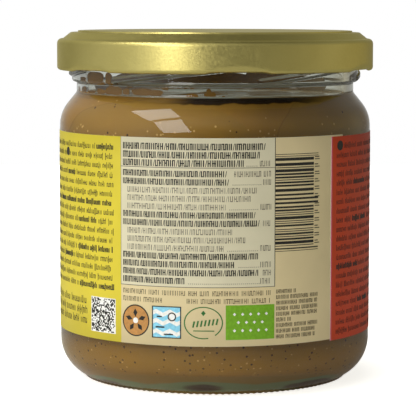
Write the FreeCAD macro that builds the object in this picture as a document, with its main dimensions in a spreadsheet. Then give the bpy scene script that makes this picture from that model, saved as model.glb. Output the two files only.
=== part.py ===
import FreeCAD, Part
import math
import os
import re

import Sketcher

# Family jar of sunflower seed butter: a glass jar with a six-start twist-off finish, its lugged
# tinplate lid, the butter inside and a paper label wrapped once round the body.
#
# Millimetres, +Z up. The origin is the centre of the ring that the jar stands on, and the middle
# of the label's table looks towards -Y. An azimuth is an angle from +X, anticlockwise from above.

OUT_DIR = "parts"
SNUG = 1e-4                     # heights closer than this are the same

SIZES = {
    # Jar body
    "body_radius": 42.3,
    "wall": 2.8,
    "heel_radius": 10.9,        # outer rounding between the wall and the foot
    "heel_drop": 0.4,           # the heel's circle would dip this far below the foot
    "foot_lift": 0.6,           # height of the foot ring under the heel
    "foot_width": 2.6,
    "push_up": 2.2,             # hollow under the base
    "push_up_taper": 4.0,       # run of the hollow's sloping rim
    "base_thickness": 4.2,
    "inner_heel_radius": 6.0,
    "shoulder_start": 68.3,     # height at which the straight wall ends
    "shoulder_radius": 9.7,
    "shoulder_angle": 39.0,     # between the shoulder's cone and the vertical
    # Neck and finish
    "neck_setback": 4.6,        # neck inside the body wall
    "neck_wall": 2.5,
    "neck_height": 2.8,         # groove between the shoulder and the finish
    "neck_rounding": 1.0,
    "finish_step": 1.3,         # finish outside the neck
    "groove_rounding": 0.45,    # in the corner under the finish
    "finish_rounding": 0.8,
    "finish_height": 12.2,
    "lip_rounding": 0.8,
    # Thread ridges of the finish
    "thread_count": 6,
    "thread_azimuth": 46.5,     # low end of one ridge
    "thread_foot": 0.95,        # middle of that end above the finish's lower edge
    "thread_lead": 29.0,        # rise in a full turn
    "thread_span": 52.0,        # degrees that one ridge covers
    "thread_tip": 0.25,         # height of the ridge at its low end
    "thread_height": 1.85,      # and at its high end
    "thread_width": 1.85,
    "thread_nose": 0.9,
    "thread_flank": 0.9,        # depth over which the ridge narrows to its nose
    "thread_bite": 0.3,         # root sunk into the finish at the high end
    # Lid
    "sheet": 0.2,
    "curl_radius": 0.9,
    "thread_clearance": 0.35,   # curl outside the ridges
    "skirt_rounding": 1.35,
    "skirt_shelf": 0.25,        # flat between the rounding and the cone
    "cone_height": 1.65,
    "ring_reach": 0.3,          # flat ring outside the finish
    "ring_width": 2.0,
    "panel_step": 0.45,         # middle panel above the ring
    "panel_slope": 0.25,
    "seal_thickness": 0.9,      # sealing compound between the sheet and the lip
    "seal_reach": 0.75,
    "seal_inset": 0.4,
    "lug_travel": 45.5,         # from a ridge's low end to the near end of the lug under it
    "lug_span": 12.0,
    "lug_thickness": 0.4,
    "lug_lift": 0.05,           # lug above the curl's lowest line
    "lug_clearance": 0.1,       # under the ridge
    "lug_gap": 0.35,            # outside the finish
    # Butter
    "fill_rise": 0.65,          # level above the bottom of the bore
    # Label
    "paper": 0.12,
    "label_foot_gap": 3.1,      # bare glass above the heel
    "label_head_gap": 1.0,      # bare glass below the shoulder
    "seam_azimuth": 317.0,      # edge of the outer end
    "seam_overlap": 5.3,        # degrees that the outer end covers the inner end
    "seam_drop": 0.4,           # outer end set lower
}

# Sizes that follow from others, as expressions on the names above and on each other.
FITS = {
    "inner_radius": "body_radius - wall",
    "heel_centre": "heel_radius - heel_drop",
    "foot_radius": "body_radius - heel_radius"
                   " + sqrt(heel_radius ^ 2 - (heel_centre - foot_lift) ^ 2)",
    "foot_inner_radius": "foot_radius - foot_width",
    "floor_height": "push_up + base_thickness",
    "shoulder_end_radius": "body_radius - shoulder_radius * (1 - cos(shoulder_angle))",
    "shoulder_end_height": "shoulder_start + shoulder_radius * sin(shoulder_angle)",
    "neck_radius": "body_radius - neck_setback",
    "shoulder_top": "shoulder_end_height"
                    " + (shoulder_end_radius - neck_radius) / tan(shoulder_angle)",
    "finish_bottom": "shoulder_top + neck_height",
    "finish_radius": "neck_radius + finish_step",
    "lip_top": "finish_bottom + finish_height",
    "bore_radius": "neck_radius - neck_wall",
    "cone_in_radius": "body_radius - shoulder_radius"
                      " + (shoulder_radius - wall) * cos(shoulder_angle)",
    "cone_in_height": "shoulder_start + (shoulder_radius - wall) * sin(shoulder_angle)",
    "bore_foot": "cone_in_height + (cone_in_radius - bore_radius) / tan(shoulder_angle)",
    "fill_level": "bore_foot + fill_rise",
    "thread_middle": "finish_bottom + thread_foot",
    "thread_rise": "thread_lead * thread_span / 360",
    "thread_start": "finish_radius + thread_tip",
    "thread_growth": "thread_height - thread_tip",
    "thread_root": "thread_start - thread_height - thread_bite",
    "thread_crest": "finish_radius + thread_height",
    "lug_azimuth": "thread_azimuth + lug_travel + lug_span / 2",
    "lug_top": "thread_middle + thread_lead * lug_travel / 360 - thread_width / 2 - lug_clearance",
    "lug_bottom": "lug_top - lug_thickness",
    "lid_bottom": "lug_bottom - lug_lift",
    "curl_middle": "lid_bottom + curl_radius",
    "curl_axis_radius": "lid_radius - curl_radius",
    "lid_radius": "thread_crest + thread_clearance + 2 * curl_radius",
    "ring_top": "lip_top + seal_thickness + sheet",
    "panel_top": "ring_top + panel_step",
    "shelf_top": "ring_top - cone_height",
    "ring_radius": "finish_radius + ring_reach",
    "panel_radius": "ring_radius - ring_width",
    "shelf_radius": "lid_radius - skirt_rounding - skirt_shelf",
    "label_bottom": "heel_centre + label_foot_gap",
    "label_top": "shoulder_start - label_head_gap",
    "label_radius": "body_radius + paper",
}

doc = FreeCAD.newDocument("SeedButterJar")
sheet = doc.addObject("Spreadsheet::Sheet", "Sizes")
for row, (size_name, size_value) in enumerate(SIZES.items(), start=1):
    sheet.set(f"B{row}", str(size_value))
    sheet.setAlias(f"B{row}", size_name)
doc.recompute()


# ---------------------------------------------------------------- sizes and sketches

def bound(text):
    """The expression with each derived size written out and each driving size read from the sheet."""
    def replace(match):
        word = match.group(0)
        if word in FITS:
            return "(" + bound(FITS[word]) + ")"
        return f"Sizes.{word}" if word in SIZES else word
    return re.sub(r"[a-z_]+", replace, text)


def value(text):
    """The expression's number now."""
    return float(sheet.evalExpression(bound(text)))


def corner(across, up, rounding=None):
    """A step of an outline: a straight run to a corner, which may be rounded."""
    return {"at": (across, up), "rounding": rounding, "arc": None}


def arc_to(across, up, radius, left=True, long_way=False):
    """A step of an outline: an arc to a point, turning left or right by under or over half a turn."""
    return {"at": (across, up), "rounding": None, "arc": radius, "left": left, "long_way": long_way}


def plane_of(body, role):
    """The body's own origin plane with this role."""
    return next(item for item in body.Origin.OriginFeatures if item.Role == role)


def axis_sketch(body, name, azimuth):
    """Empty sketch in the plane through the jar's axis, turned to an azimuth where one is given."""
    sketch = body.newObject("Sketcher::SketchObject", name)
    sketch.AttachmentSupport = [(plane_of(body, "XZ_Plane"), "")]
    sketch.MapMode = "FlatFace"
    if azimuth:
        turn = FreeCAD.Rotation(FreeCAD.Vector(0, 1, 0), value(azimuth))
        sketch.AttachmentOffset = FreeCAD.Placement(FreeCAD.Vector(), turn)
        sketch.setExpression("AttachmentOffset.Rotation.Angle", bound(azimuth))
    return sketch


def arc_between(start, end, radius, left, long_way=False):
    """Circular arc from one point to another, kept in the circle's own direction."""
    chord = end - start
    rise = math.sqrt(max(radius ** 2 - (chord.Length / 2) ** 2, 0.0))
    aside = FreeCAD.Vector(-chord.y, chord.x, 0).normalize()
    centre = start + chord / 2 + aside * (rise if left != long_way else -rise)
    circle = Part.Circle(centre, FreeCAD.Vector(0, 0, 1), radius)
    first, last = (start, end) if left else (end, start)
    angles = [math.atan2(point.y - centre.y, point.x - centre.x) for point in (first, last)]
    return Part.ArcOfCircle(circle, *angles)


def arc_ends(left):
    """The sketcher's numbers for the points where a path enters and leaves an arc."""
    return (1, 2) if left else (2, 1)


def touching_points(before, point, after, radius):
    """Where a rounding touches the two sides that meet at a corner, and whether it turns left."""
    back = (before - point).normalize()
    ahead = (after - point).normalize()
    cut = radius / math.tan(back.getAngle(ahead) / 2)
    return point + back * cut, point + ahead * cut, back.cross(ahead).z < 0


def bind(sketch, kind, references, name, text):
    """Add a dimension to the sketch and tie it to the expression."""
    index = sketch.addConstraint(Sketcher.Constraint(kind, *references, value(text)))
    sketch.renameConstraint(index, name)
    sketch.setExpression(f"Constraints.{name}", bound(text))


def fix_point(sketch, point, step, name):
    """Tie a point of the sketch to the place that its step gives."""
    for axis, kind, text in ((-2, "DistanceX", step["at"][0]), (-1, "DistanceY", step["at"][1])):
        if text == "0":
            sketch.addConstraint(Sketcher.Constraint("PointOnObject", *point, axis))
        else:
            bind(sketch, kind, (-1, 1, *point), f"{name}_{kind[-1]}", text)


def add_side(sketch, index, step, start, end):
    """Draw one side of an outline and return the two ends that the path enters and leaves by."""
    if step["arc"]:
        arc = arc_between(start, end, value(step["arc"]), step["left"], step["long_way"])
        side = sketch.addGeometry(arc, False)
        bind(sketch, "Radius", (side,), f"arc_{index}", step["arc"])
        entry, leave = arc_ends(step["left"])
    else:
        side = sketch.addGeometry(Part.LineSegment(start, end), False)
        entry, leave = 1, 2
    return (side, entry), (side, leave)


def round_corner(sketch, index, step, point, touching, arriving, leaving):
    """Join two sides with an arc tangent to both; the corner they would meet at keeps its place."""
    first, last, left = touching
    arc = sketch.addGeometry(arc_between(first, last, value(step["rounding"]), left), False)
    entry, leave = arc_ends(left)
    sketch.addConstraint(Sketcher.Constraint("Tangent", *arriving, arc, entry))
    sketch.addConstraint(Sketcher.Constraint("Tangent", arc, leave, *leaving))
    bind(sketch, "Radius", (arc,), f"round_{index}", step["rounding"])
    mark = sketch.addGeometry(Part.Point(point), True)
    for side in (arriving[0], leaving[0]):
        sketch.addConstraint(Sketcher.Constraint("PointOnObject", mark, 1, side))
    fix_point(sketch, (mark, 1), step, f"at_{index}")


def outline(body, name, steps, azimuth=None):
    """Closed sketch in a plane through the jar's axis: each step leads to its point, in turn."""
    sketch = axis_sketch(body, name, azimuth)
    points = [FreeCAD.Vector(*map(value, step["at"]), 0) for step in steps]
    following = points[1:] + points[:1]
    ends, starts, touching = list(points), list(points), {}
    for index, step in enumerate(steps):
        if step["rounding"]:
            touching[index] = touching_points(points[index - 1], points[index], following[index],
                                              value(step["rounding"]))
            ends[index], starts[index] = touching[index][:2]
    sides = [add_side(sketch, index, step, starts[index - 1], ends[index])
             for index, step in enumerate(steps)]
    for index, step in enumerate(steps):
        arriving = sides[index][1]
        leaving = sides[(index + 1) % len(sides)][0]
        if index in touching:
            round_corner(sketch, index, step, points[index], touching[index], arriving, leaving)
        else:
            sketch.addConstraint(Sketcher.Constraint("Coincident", *arriving, *leaving))
            fix_point(sketch, arriving, step, f"at_{index}")
    return sketch


def new_body(label):
    """A body at the jar's origin."""
    body = doc.addObject("PartDesign::Body", label)
    body.Label = label
    body.Placement = FreeCAD.Placement()
    return body


def turned(body, kind, name, sketch, degrees="360"):
    """Revolution or groove of a sketch about the jar's axis, anticlockwise from its plane."""
    feature = body.newObject(f"PartDesign::{kind}", name)
    feature.Profile = sketch
    feature.ReferenceAxis = (sketch, ["V_Axis"])
    feature.setExpression("Angle", bound(degrees))
    return feature


def ringed(body, name, feature, sketch):
    """One copy of the feature for each thread start, evenly round the jar's axis."""
    pattern = body.newObject("PartDesign::PolarPattern", name)
    pattern.Originals = [feature]
    pattern.Axis = (sketch, ["V_Axis"])
    pattern.Angle = 360
    pattern.setExpression("Occurrences", bound("thread_count"))
    body.Tip = pattern
    return pattern


# ---------------------------------------------------------------- glass jar

def cavity_steps(top):
    """Inside of the jar from its floor to the given height: heel, wall, shoulder and bore."""
    return [
        corner("0", "floor_height"),
        corner("inner_radius", "floor_height", rounding="inner_heel_radius"),
        corner("inner_radius", "shoulder_start"),
        arc_to("cone_in_radius", "cone_in_height", radius="shoulder_radius - wall"),
        corner("bore_radius", "bore_foot"),
        corner("bore_radius", top),
        corner("0", top),
    ]


def glass_jar():
    """Turned jar with a pushed-up base, six slanted, growing thread ridges and a rounded lip."""
    body = new_body("glass_jar")
    outside = outline(body, "JarOutline", [
        corner("0", "push_up"),
        corner("foot_inner_radius - push_up_taper", "push_up", rounding="push_up_taper / 2"),
        corner("foot_inner_radius", "0"),
        corner("foot_radius", "0"),
        corner("foot_radius", "foot_lift"),
        arc_to("body_radius", "heel_centre", radius="heel_radius"),
        corner("body_radius", "shoulder_start"),
        arc_to("shoulder_end_radius", "shoulder_end_height", radius="shoulder_radius"),
        corner("neck_radius", "shoulder_top", rounding="neck_rounding"),
        corner("neck_radius", "finish_bottom", rounding="groove_rounding"),
        corner("finish_radius", "finish_bottom", rounding="finish_rounding"),
        corner("finish_radius", "lip_top"),
        corner("0", "lip_top"),
    ])
    turned(body, "Revolution", "JarSolid", outside)
    section = outline(body, "ThreadSection", [
        corner("thread_root", "thread_middle - thread_width / 2"),
        corner("thread_start - thread_flank", "thread_middle - thread_width / 2"),
        corner("thread_start", "thread_middle - thread_nose / 2", rounding="thread_nose / 3"),
        corner("thread_start", "thread_middle + thread_nose / 2", rounding="thread_nose / 3"),
        corner("thread_start - thread_flank", "thread_middle + thread_width / 2"),
        corner("thread_root", "thread_middle + thread_width / 2"),
    ], azimuth="thread_azimuth")
    ridge = body.newObject("PartDesign::AdditiveHelix", "ThreadRidge")
    ridge.Profile = section
    ridge.ReferenceAxis = (section, ["V_Axis"])
    ridge.Mode = "pitch-height-angle"
    ridge.setExpression("Pitch", bound("thread_lead"))
    ridge.setExpression("Height", bound("thread_rise"))
    ridge.setExpression("Angle", bound("atan(thread_growth / thread_rise)"))
    ringed(body, "ThreadRidges", ridge, section)
    hollow = outline(body, "CavityOutline", cavity_steps("lip_top + lip_rounding"))
    cavity = turned(body, "Groove", "Cavity", hollow)
    doc.recompute()
    lip = body.newObject("PartDesign::Fillet", "LipRounding")
    lip.Base = (cavity, lip_edges(cavity.Shape))
    lip.setExpression("Radius", bound("lip_rounding"))
    body.Tip = lip
    return body


def lip_edges(shape):
    """Names of the two circles that bound the lip's top."""
    top = value("lip_top")
    return [f"Edge{number}" for number, edge in enumerate(shape.Edges, start=1)
            if max(abs(edge.BoundBox.ZMin - top), abs(edge.BoundBox.ZMax - top)) < SNUG]


# ---------------------------------------------------------------- lid

def lid():
    """Tinplate cap: stepped panel, skirt rolled into a curl, and six lugs pressed in under the ridges."""
    body = new_body("lid")
    section = outline(body, "LidSection", [
        corner("0", "panel_top - sheet"),
        corner("bore_radius - seal_inset", "panel_top - sheet"),
        corner("bore_radius - seal_inset", "lip_top"),
        corner("finish_radius + seal_reach", "lip_top"),
        corner("shelf_radius - sheet / 2", "shelf_top - sheet"),
        corner("lid_radius - sheet", "shelf_top - sheet", rounding="skirt_rounding - sheet"),
        corner("lid_radius - sheet", "curl_middle"),
        arc_to("curl_axis_radius", "curl_middle + curl_radius - sheet",
               radius="curl_radius - sheet", left=False, long_way=True),
        corner("curl_axis_radius", "curl_middle + curl_radius"),
        arc_to("lid_radius", "curl_middle", radius="curl_radius", left=True, long_way=True),
        corner("lid_radius", "shelf_top", rounding="skirt_rounding"),
        corner("shelf_radius", "shelf_top"),
        corner("ring_radius", "ring_top"),
        corner("panel_radius + panel_slope", "ring_top"),
        corner("panel_radius", "panel_top"),
        corner("0", "panel_top"),
    ])
    turned(body, "Revolution", "LidSheet", section)
    lug_section = outline(body, "LugSection", [
        corner("finish_radius + lug_gap", "lug_bottom", rounding="lug_thickness / 3"),
        corner("curl_axis_radius", "lug_bottom"),
        corner("curl_axis_radius", "lug_top"),
        corner("finish_radius + lug_gap", "lug_top", rounding="lug_thickness / 3"),
    ], azimuth="lug_azimuth")
    lug = turned(body, "Revolution", "Lug", lug_section, "lug_span")
    lug.Midplane = True
    ringed(body, "Lugs", lug, lug_section)
    return body


# ---------------------------------------------------------------- butter

def sunflower_butter():
    """The filling, against the glass all round and level across the neck."""
    body = new_body("sunflower_butter")
    section = outline(body, "ButterOutline", cavity_steps("fill_level"))
    turned(body, "Revolution", "ButterSolid", section)
    return body


# ---------------------------------------------------------------- label

def label():
    """Paper wrapped once round the wall, its outer end glued a little lower over its inner end."""
    body = new_body("label")
    sheet_section = outline(body, "PaperSection", [
        corner("body_radius", "label_bottom"),
        corner("label_radius", "label_bottom"),
        corner("label_radius", "label_top"),
        corner("body_radius", "label_top"),
    ])
    turned(body, "Revolution", "PaperWrap", sheet_section)
    seam_section = outline(body, "SeamSection", [
        corner("label_radius", "label_bottom - seam_drop"),
        corner("label_radius + paper", "label_bottom - seam_drop"),
        corner("label_radius + paper", "label_top - seam_drop"),
        corner("label_radius", "label_top - seam_drop"),
    ], azimuth="seam_azimuth")
    turned(body, "Revolution", "SeamOverlap", seam_section, "seam_overlap")
    return body


# ---------------------------------------------------------------- build and write

def check(pieces):
    """Stop at any failed object, empty or invalid shape, or piece of more than one solid."""
    failed = [item.Label for item in doc.Objects
              if "Invalid" in item.State or "Error" in item.State]
    if failed:
        raise RuntimeError("failed objects: " + ", ".join(failed))
    for piece in pieces:
        shape = piece.Shape
        if shape.isNull() or not shape.isValid() or len(shape.Solids) != 1:
            raise RuntimeError(f"{piece.Label} is not one valid solid")


def main():
    pieces = [glass_jar(), lid(), sunflower_butter(), label()]
    doc.recompute()
    check(pieces)
    os.makedirs(OUT_DIR, exist_ok=True)
    for piece in pieces:
        piece.Shape.exportStep(os.path.join(OUT_DIR, f"{piece.Label}.step"))
        box = piece.Shape.optimalBoundingBox(False)
        print(f"{piece.Label}: {piece.Shape.Volume / 1000:.2f} cm3,"
              f" height {box.ZMin:.2f} to {box.ZMax:.2f}, width {box.XLength:.2f}")


main()
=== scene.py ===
import logging
import math
from dataclasses import dataclass, field
from enum import Enum
from typing import Optional, Sequence, Union

import bpy
import numpy as np
from mathutils import Matrix, Vector


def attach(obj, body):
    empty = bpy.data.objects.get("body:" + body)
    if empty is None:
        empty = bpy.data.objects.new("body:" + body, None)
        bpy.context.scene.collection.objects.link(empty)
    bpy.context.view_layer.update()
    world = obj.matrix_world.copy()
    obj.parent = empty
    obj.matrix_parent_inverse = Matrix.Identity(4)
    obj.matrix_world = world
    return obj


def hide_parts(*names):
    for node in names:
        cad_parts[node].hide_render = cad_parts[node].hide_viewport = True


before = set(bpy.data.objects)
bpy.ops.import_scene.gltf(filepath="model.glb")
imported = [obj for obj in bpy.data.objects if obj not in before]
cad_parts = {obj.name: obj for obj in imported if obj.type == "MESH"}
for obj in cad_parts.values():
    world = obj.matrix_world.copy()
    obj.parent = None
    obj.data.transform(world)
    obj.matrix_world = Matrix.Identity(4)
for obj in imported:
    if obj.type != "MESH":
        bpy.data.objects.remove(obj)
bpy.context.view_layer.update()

LOG = logging.getLogger("seed_butter_jar")

# Sizes of the jar's pieces are in mm, meshes and finishes in metres.
MM = 0.001

Colour = tuple[float, float, float]
Corner = tuple[float, float, float]
Point = tuple[float, float, float]
Place = tuple[float, float]
Span = tuple[float, float]
Dab = tuple[float, float, float, float, float]
Socket = bpy.types.NodeSocket
Number = Union[float, Socket]
Shade = Union[Colour, Socket]


def tone(red: int, green: int, blue: int) -> Colour:
    """Turn a display colour into linear light: each channel over 255, through the usual gamma curve.

    Args:
        red, green, blue: Display values from 0 to 255.

    Returns:
        The linear colour.
    """
    display = np.array([red, green, blue]) / 255.0
    linear = np.where(display <= 0.04045, display / 12.92, ((display + 0.055) / 1.055) ** 2.4)
    return tuple(float(channel) for channel in linear)


# ---------------------------------------------------------------- shader nodes

class NodeTree:
    """Short ways to add and join the nodes of one material or world."""

    def __init__(self, tree: bpy.types.NodeTree) -> None:
        """Empty the tree and keep it."""
        self.tree = tree
        tree.nodes.clear()

    def add(self, kind: str, inputs: Optional[dict] = None, **settings: str) -> bpy.types.Node:
        """Add a node.

        Args:
            kind: The node's type, without the word ShaderNode.
            inputs: Values or output sockets, by the input's name or number.
            settings: The node's own properties.

        Returns:
            The new node.
        """
        node = self.tree.nodes.new("ShaderNode" + kind)
        for name, value in settings.items():
            setattr(node, name, value)
        for name, value in (inputs or {}).items():
            socket = node.inputs[name]
            if isinstance(value, Socket):
                self.tree.links.new(value, socket)
            elif isinstance(value, tuple) and len(value) == 3 and socket.type == "RGBA":
                socket.default_value = (*value, 1.0)
            else:
                socket.default_value = value
        return node

    def place(self) -> Socket:
        """Object coordinates, in metres."""
        return self.add("TexCoord").outputs["Object"]

    def noise(self, scale: float, detail: float = 2.0, roughness: float = 0.5) -> Socket:
        """Grain from a noise texture on the object's own coordinates.

        Args:
            scale: Grains in a metre.
            detail: Octaves of finer grain.
            roughness: Weight of the finer grain.

        Returns:
            The noise value, about 0.2 to 0.8.
        """
        node = self.add("TexNoise", {"Vector": self.place(), "Scale": scale,
                                     "Detail": detail, "Roughness": roughness})
        return node.outputs["Fac"]

    def ramp(self, factor: Socket, stops: Sequence[tuple[float, Colour]]) -> Socket:
        """Colours along a factor.

        Args:
            factor: Value from 0 to 1.
            stops: Places and colours, in rising order.

        Returns:
            The colour socket.
        """
        node = self.add("ValToRGB", {0: factor})
        marks = node.color_ramp.elements
        while len(marks) < len(stops):
            marks.new(0.5)
        for mark, (position, colour) in zip(marks, stops):
            mark.position = position
            mark.color = (*colour, 1.0)
        return node.outputs["Color"]

    def calculate(self, operation: str, *values: Number) -> Socket:
        """One Math node.

        Args:
            operation: The node's operation.
            values: Numbers or sockets, in order.

        Returns:
            The result's socket.
        """
        return self.add("Math", dict(enumerate(values)), operation=operation).outputs[0]

    def product(self, first: Number, *factors: Number) -> Socket:
        """All the factors multiplied, from the first on.

        Args:
            first: The first factor.
            factors: The others, one or more.

        Returns:
            The product's socket.
        """
        result = first
        for factor in factors:
            result = self.calculate("MULTIPLY", result, factor)
        return result

    def remap(self, value: Socket, low: float, high: float, first: float = 0.0,
              last: float = 1.0, kind: str = "LINEAR") -> Socket:
        """Value that goes from a first to a last number between two limits, and no further.

        Args:
            value: What it follows.
            low, high: The limits. The first may be the higher one.
            first, last: The numbers that it has at the limits.
            kind: How it goes from one to the other.

        Returns:
            The new value's socket.
        """
        node = self.add("MapRange", {"Value": value, "From Min": low, "From Max": high,
                                     "To Min": first, "To Max": last},
                        interpolation_type=kind)
        return node.outputs[0]

    def ease(self, value: Socket, low: float, high: float, first: float = 0.0,
             last: float = 1.0) -> Socket:
        """Remap with a soft start and a soft end."""
        return self.remap(value, low, high, first, last, "SMOOTHSTEP")

    def blend(self, factor: Number, first: Shade, second: Shade) -> Socket:
        """Mix of two colours.

        Args:
            factor: Share of the second colour, from 0 to 1.
            first, second: The colours or their sockets.

        Returns:
            The mixed colour's socket.
        """
        node = self.add("Mix", data_type="RGBA")
        for number, value in ((0, factor), (6, first), (7, second)):
            if isinstance(value, Socket):
                self.tree.links.new(value, node.inputs[number])
            else:
                node.inputs[number].default_value = (*value, 1.0) if number else value
        return node.outputs[2]

    def bump(self, height: Socket, depth: float, strength: float = 1.0) -> Socket:
        """Surface relief.

        Args:
            height: Value from 0 to 1.
            depth: Height of the relief in metres.
            strength: Share of it that shows.

        Returns:
            The normal's socket.
        """
        node = self.add("Bump", {"Height": height, "Distance": depth, "Strength": strength})
        return node.outputs["Normal"]

    def finish(self, shader: Socket, kind: str = "OutputMaterial") -> None:
        """Join the last shader to the tree's output."""
        self.tree.links.new(shader, self.add(kind).inputs["Surface"])


def new_material(name: str) -> tuple[bpy.types.Material, NodeTree]:
    """A material with an empty node tree.

    Args:
        name: The material's name.

    Returns:
        The material and its tree.
    """
    material = bpy.data.materials.new(name)
    material.use_nodes = True
    return material, NodeTree(material.node_tree)


# ---------------------------------------------------------------- finishes

@dataclass(frozen=True)
class ClearGlass:
    """Clear moulded glass with a faint green tint and barely wavy faces. The wave is its height."""

    tint: Colour = (0.95, 0.98, 0.945)
    passed: Colour = (0.97, 0.985, 0.97)
    ior: float = 1.56
    wave: float = 0.00004
    waves_per_metre: float = 130.0

    def material(self) -> bpy.types.Material:
        """Refracting glass whose shadows let the light through, less what its face throws back.

        Returns:
            The material.
        """
        material, tree = new_material("clear_glass")
        relief = tree.bump(tree.noise(self.waves_per_metre, 1.0), self.wave, 0.35)
        glass = tree.add("BsdfPrincipled", {
            "Base Color": self.tint, "Roughness": 0.0, "IOR": self.ior,
            "Transmission Weight": 1.0, "Normal": relief})
        glance = tree.add("Fresnel", {"IOR": self.ior}).outputs[0]
        light = tree.blend(glance, self.passed, (0.0, 0.0, 0.0))
        through = tree.add("BsdfTransparent", {"Color": light})
        shadow = tree.add("LightPath").outputs["Is Shadow Ray"]
        mixed = tree.add("MixShader", {0: shadow, 1: glass.outputs[0], 2: through.outputs[0]})
        tree.finish(mixed.outputs[0])
        return material


@dataclass(frozen=True)
class GoldLacquer:
    """Satin gold lacquer over tinplate, with a fine rolled grain under a soft clear coat."""

    colour: Colour = (0.69, 0.60, 0.212)
    deep: Colour = (0.64, 0.55, 0.184)
    glancing: Colour = (0.80, 0.77, 0.52)
    roughness: float = 0.37
    smoother: float = 0.05
    rougher: float = 0.06
    coat: float = 0.24
    coat_roughness: float = 0.34
    coat_ior: float = 1.33
    grain: float = 0.000022
    grains_per_metre: float = 1500.0
    drifts_per_metre: float = 90.0

    def material(self) -> bpy.types.Material:
        """Metal under a clear coat, whose colour, gloss and relief vary with two sizes of grain.

        Returns:
            The material.
        """
        material, tree = new_material("gold_lacquer")
        fine = tree.noise(self.grains_per_metre, 1.0)
        broad = tree.noise(self.drifts_per_metre, 3.0)
        colour = tree.ramp(broad, [(0.3, self.deep), (0.7, self.colour)])
        rough = tree.remap(fine, 0.3, 0.7, self.roughness - self.smoother,
                           self.roughness + self.rougher)
        metal = tree.add("BsdfPrincipled", {
            "Base Color": colour, "Metallic": 1.0, "Roughness": rough,
            "Specular Tint": self.glancing, "Coat Weight": self.coat,
            "Coat Roughness": self.coat_roughness, "Coat IOR": self.coat_ior,
            "Normal": tree.bump(fine, self.grain)})
        tree.finish(metal.outputs[0])
        return material


@dataclass(frozen=True)
class InnerLacquer:
    """Pale grey lacquer and sealing compound on the underside of the lid."""

    colour: Colour = (0.62, 0.62, 0.58)
    dark_share: float = 0.86
    roughness: float = 0.4
    relief: float = 0.00002
    mottles_per_metre: float = 400.0

    def material(self) -> bpy.types.Material:
        """Pale, half glossy coat with a soft mottle.

        Returns:
            The material.
        """
        material, tree = new_material("inner_lacquer")
        mottle = tree.noise(self.mottles_per_metre)
        dark = tuple(self.dark_share * channel for channel in self.colour)
        colour = tree.ramp(mottle, [(0.35, dark), (0.65, self.colour)])
        coat = tree.add("BsdfPrincipled", {
            "Base Color": colour, "Metallic": 0.0, "Roughness": self.roughness,
            "Normal": tree.bump(mottle, self.relief, 0.4)})
        tree.finish(coat.outputs[0])
        return material


@dataclass(frozen=True)
class Patch:
    """A darker patch of the paste: the angle of its middle from the front and half its width, in
    radians, the height of its middle and half its height, in metres, and the angle from which
    its outline fades."""

    middle: float
    half: float
    level: float
    rise: float
    fade: float = 9.0


@dataclass(frozen=True)
class Specks:
    """Scattered specks: their cells in a metre, their radius as a share of a cell, and the share
    of the cells that hold one at the low and at the high end of a stretch of height."""

    per_metre: float
    size: float
    low_share: float
    high_share: float


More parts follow.
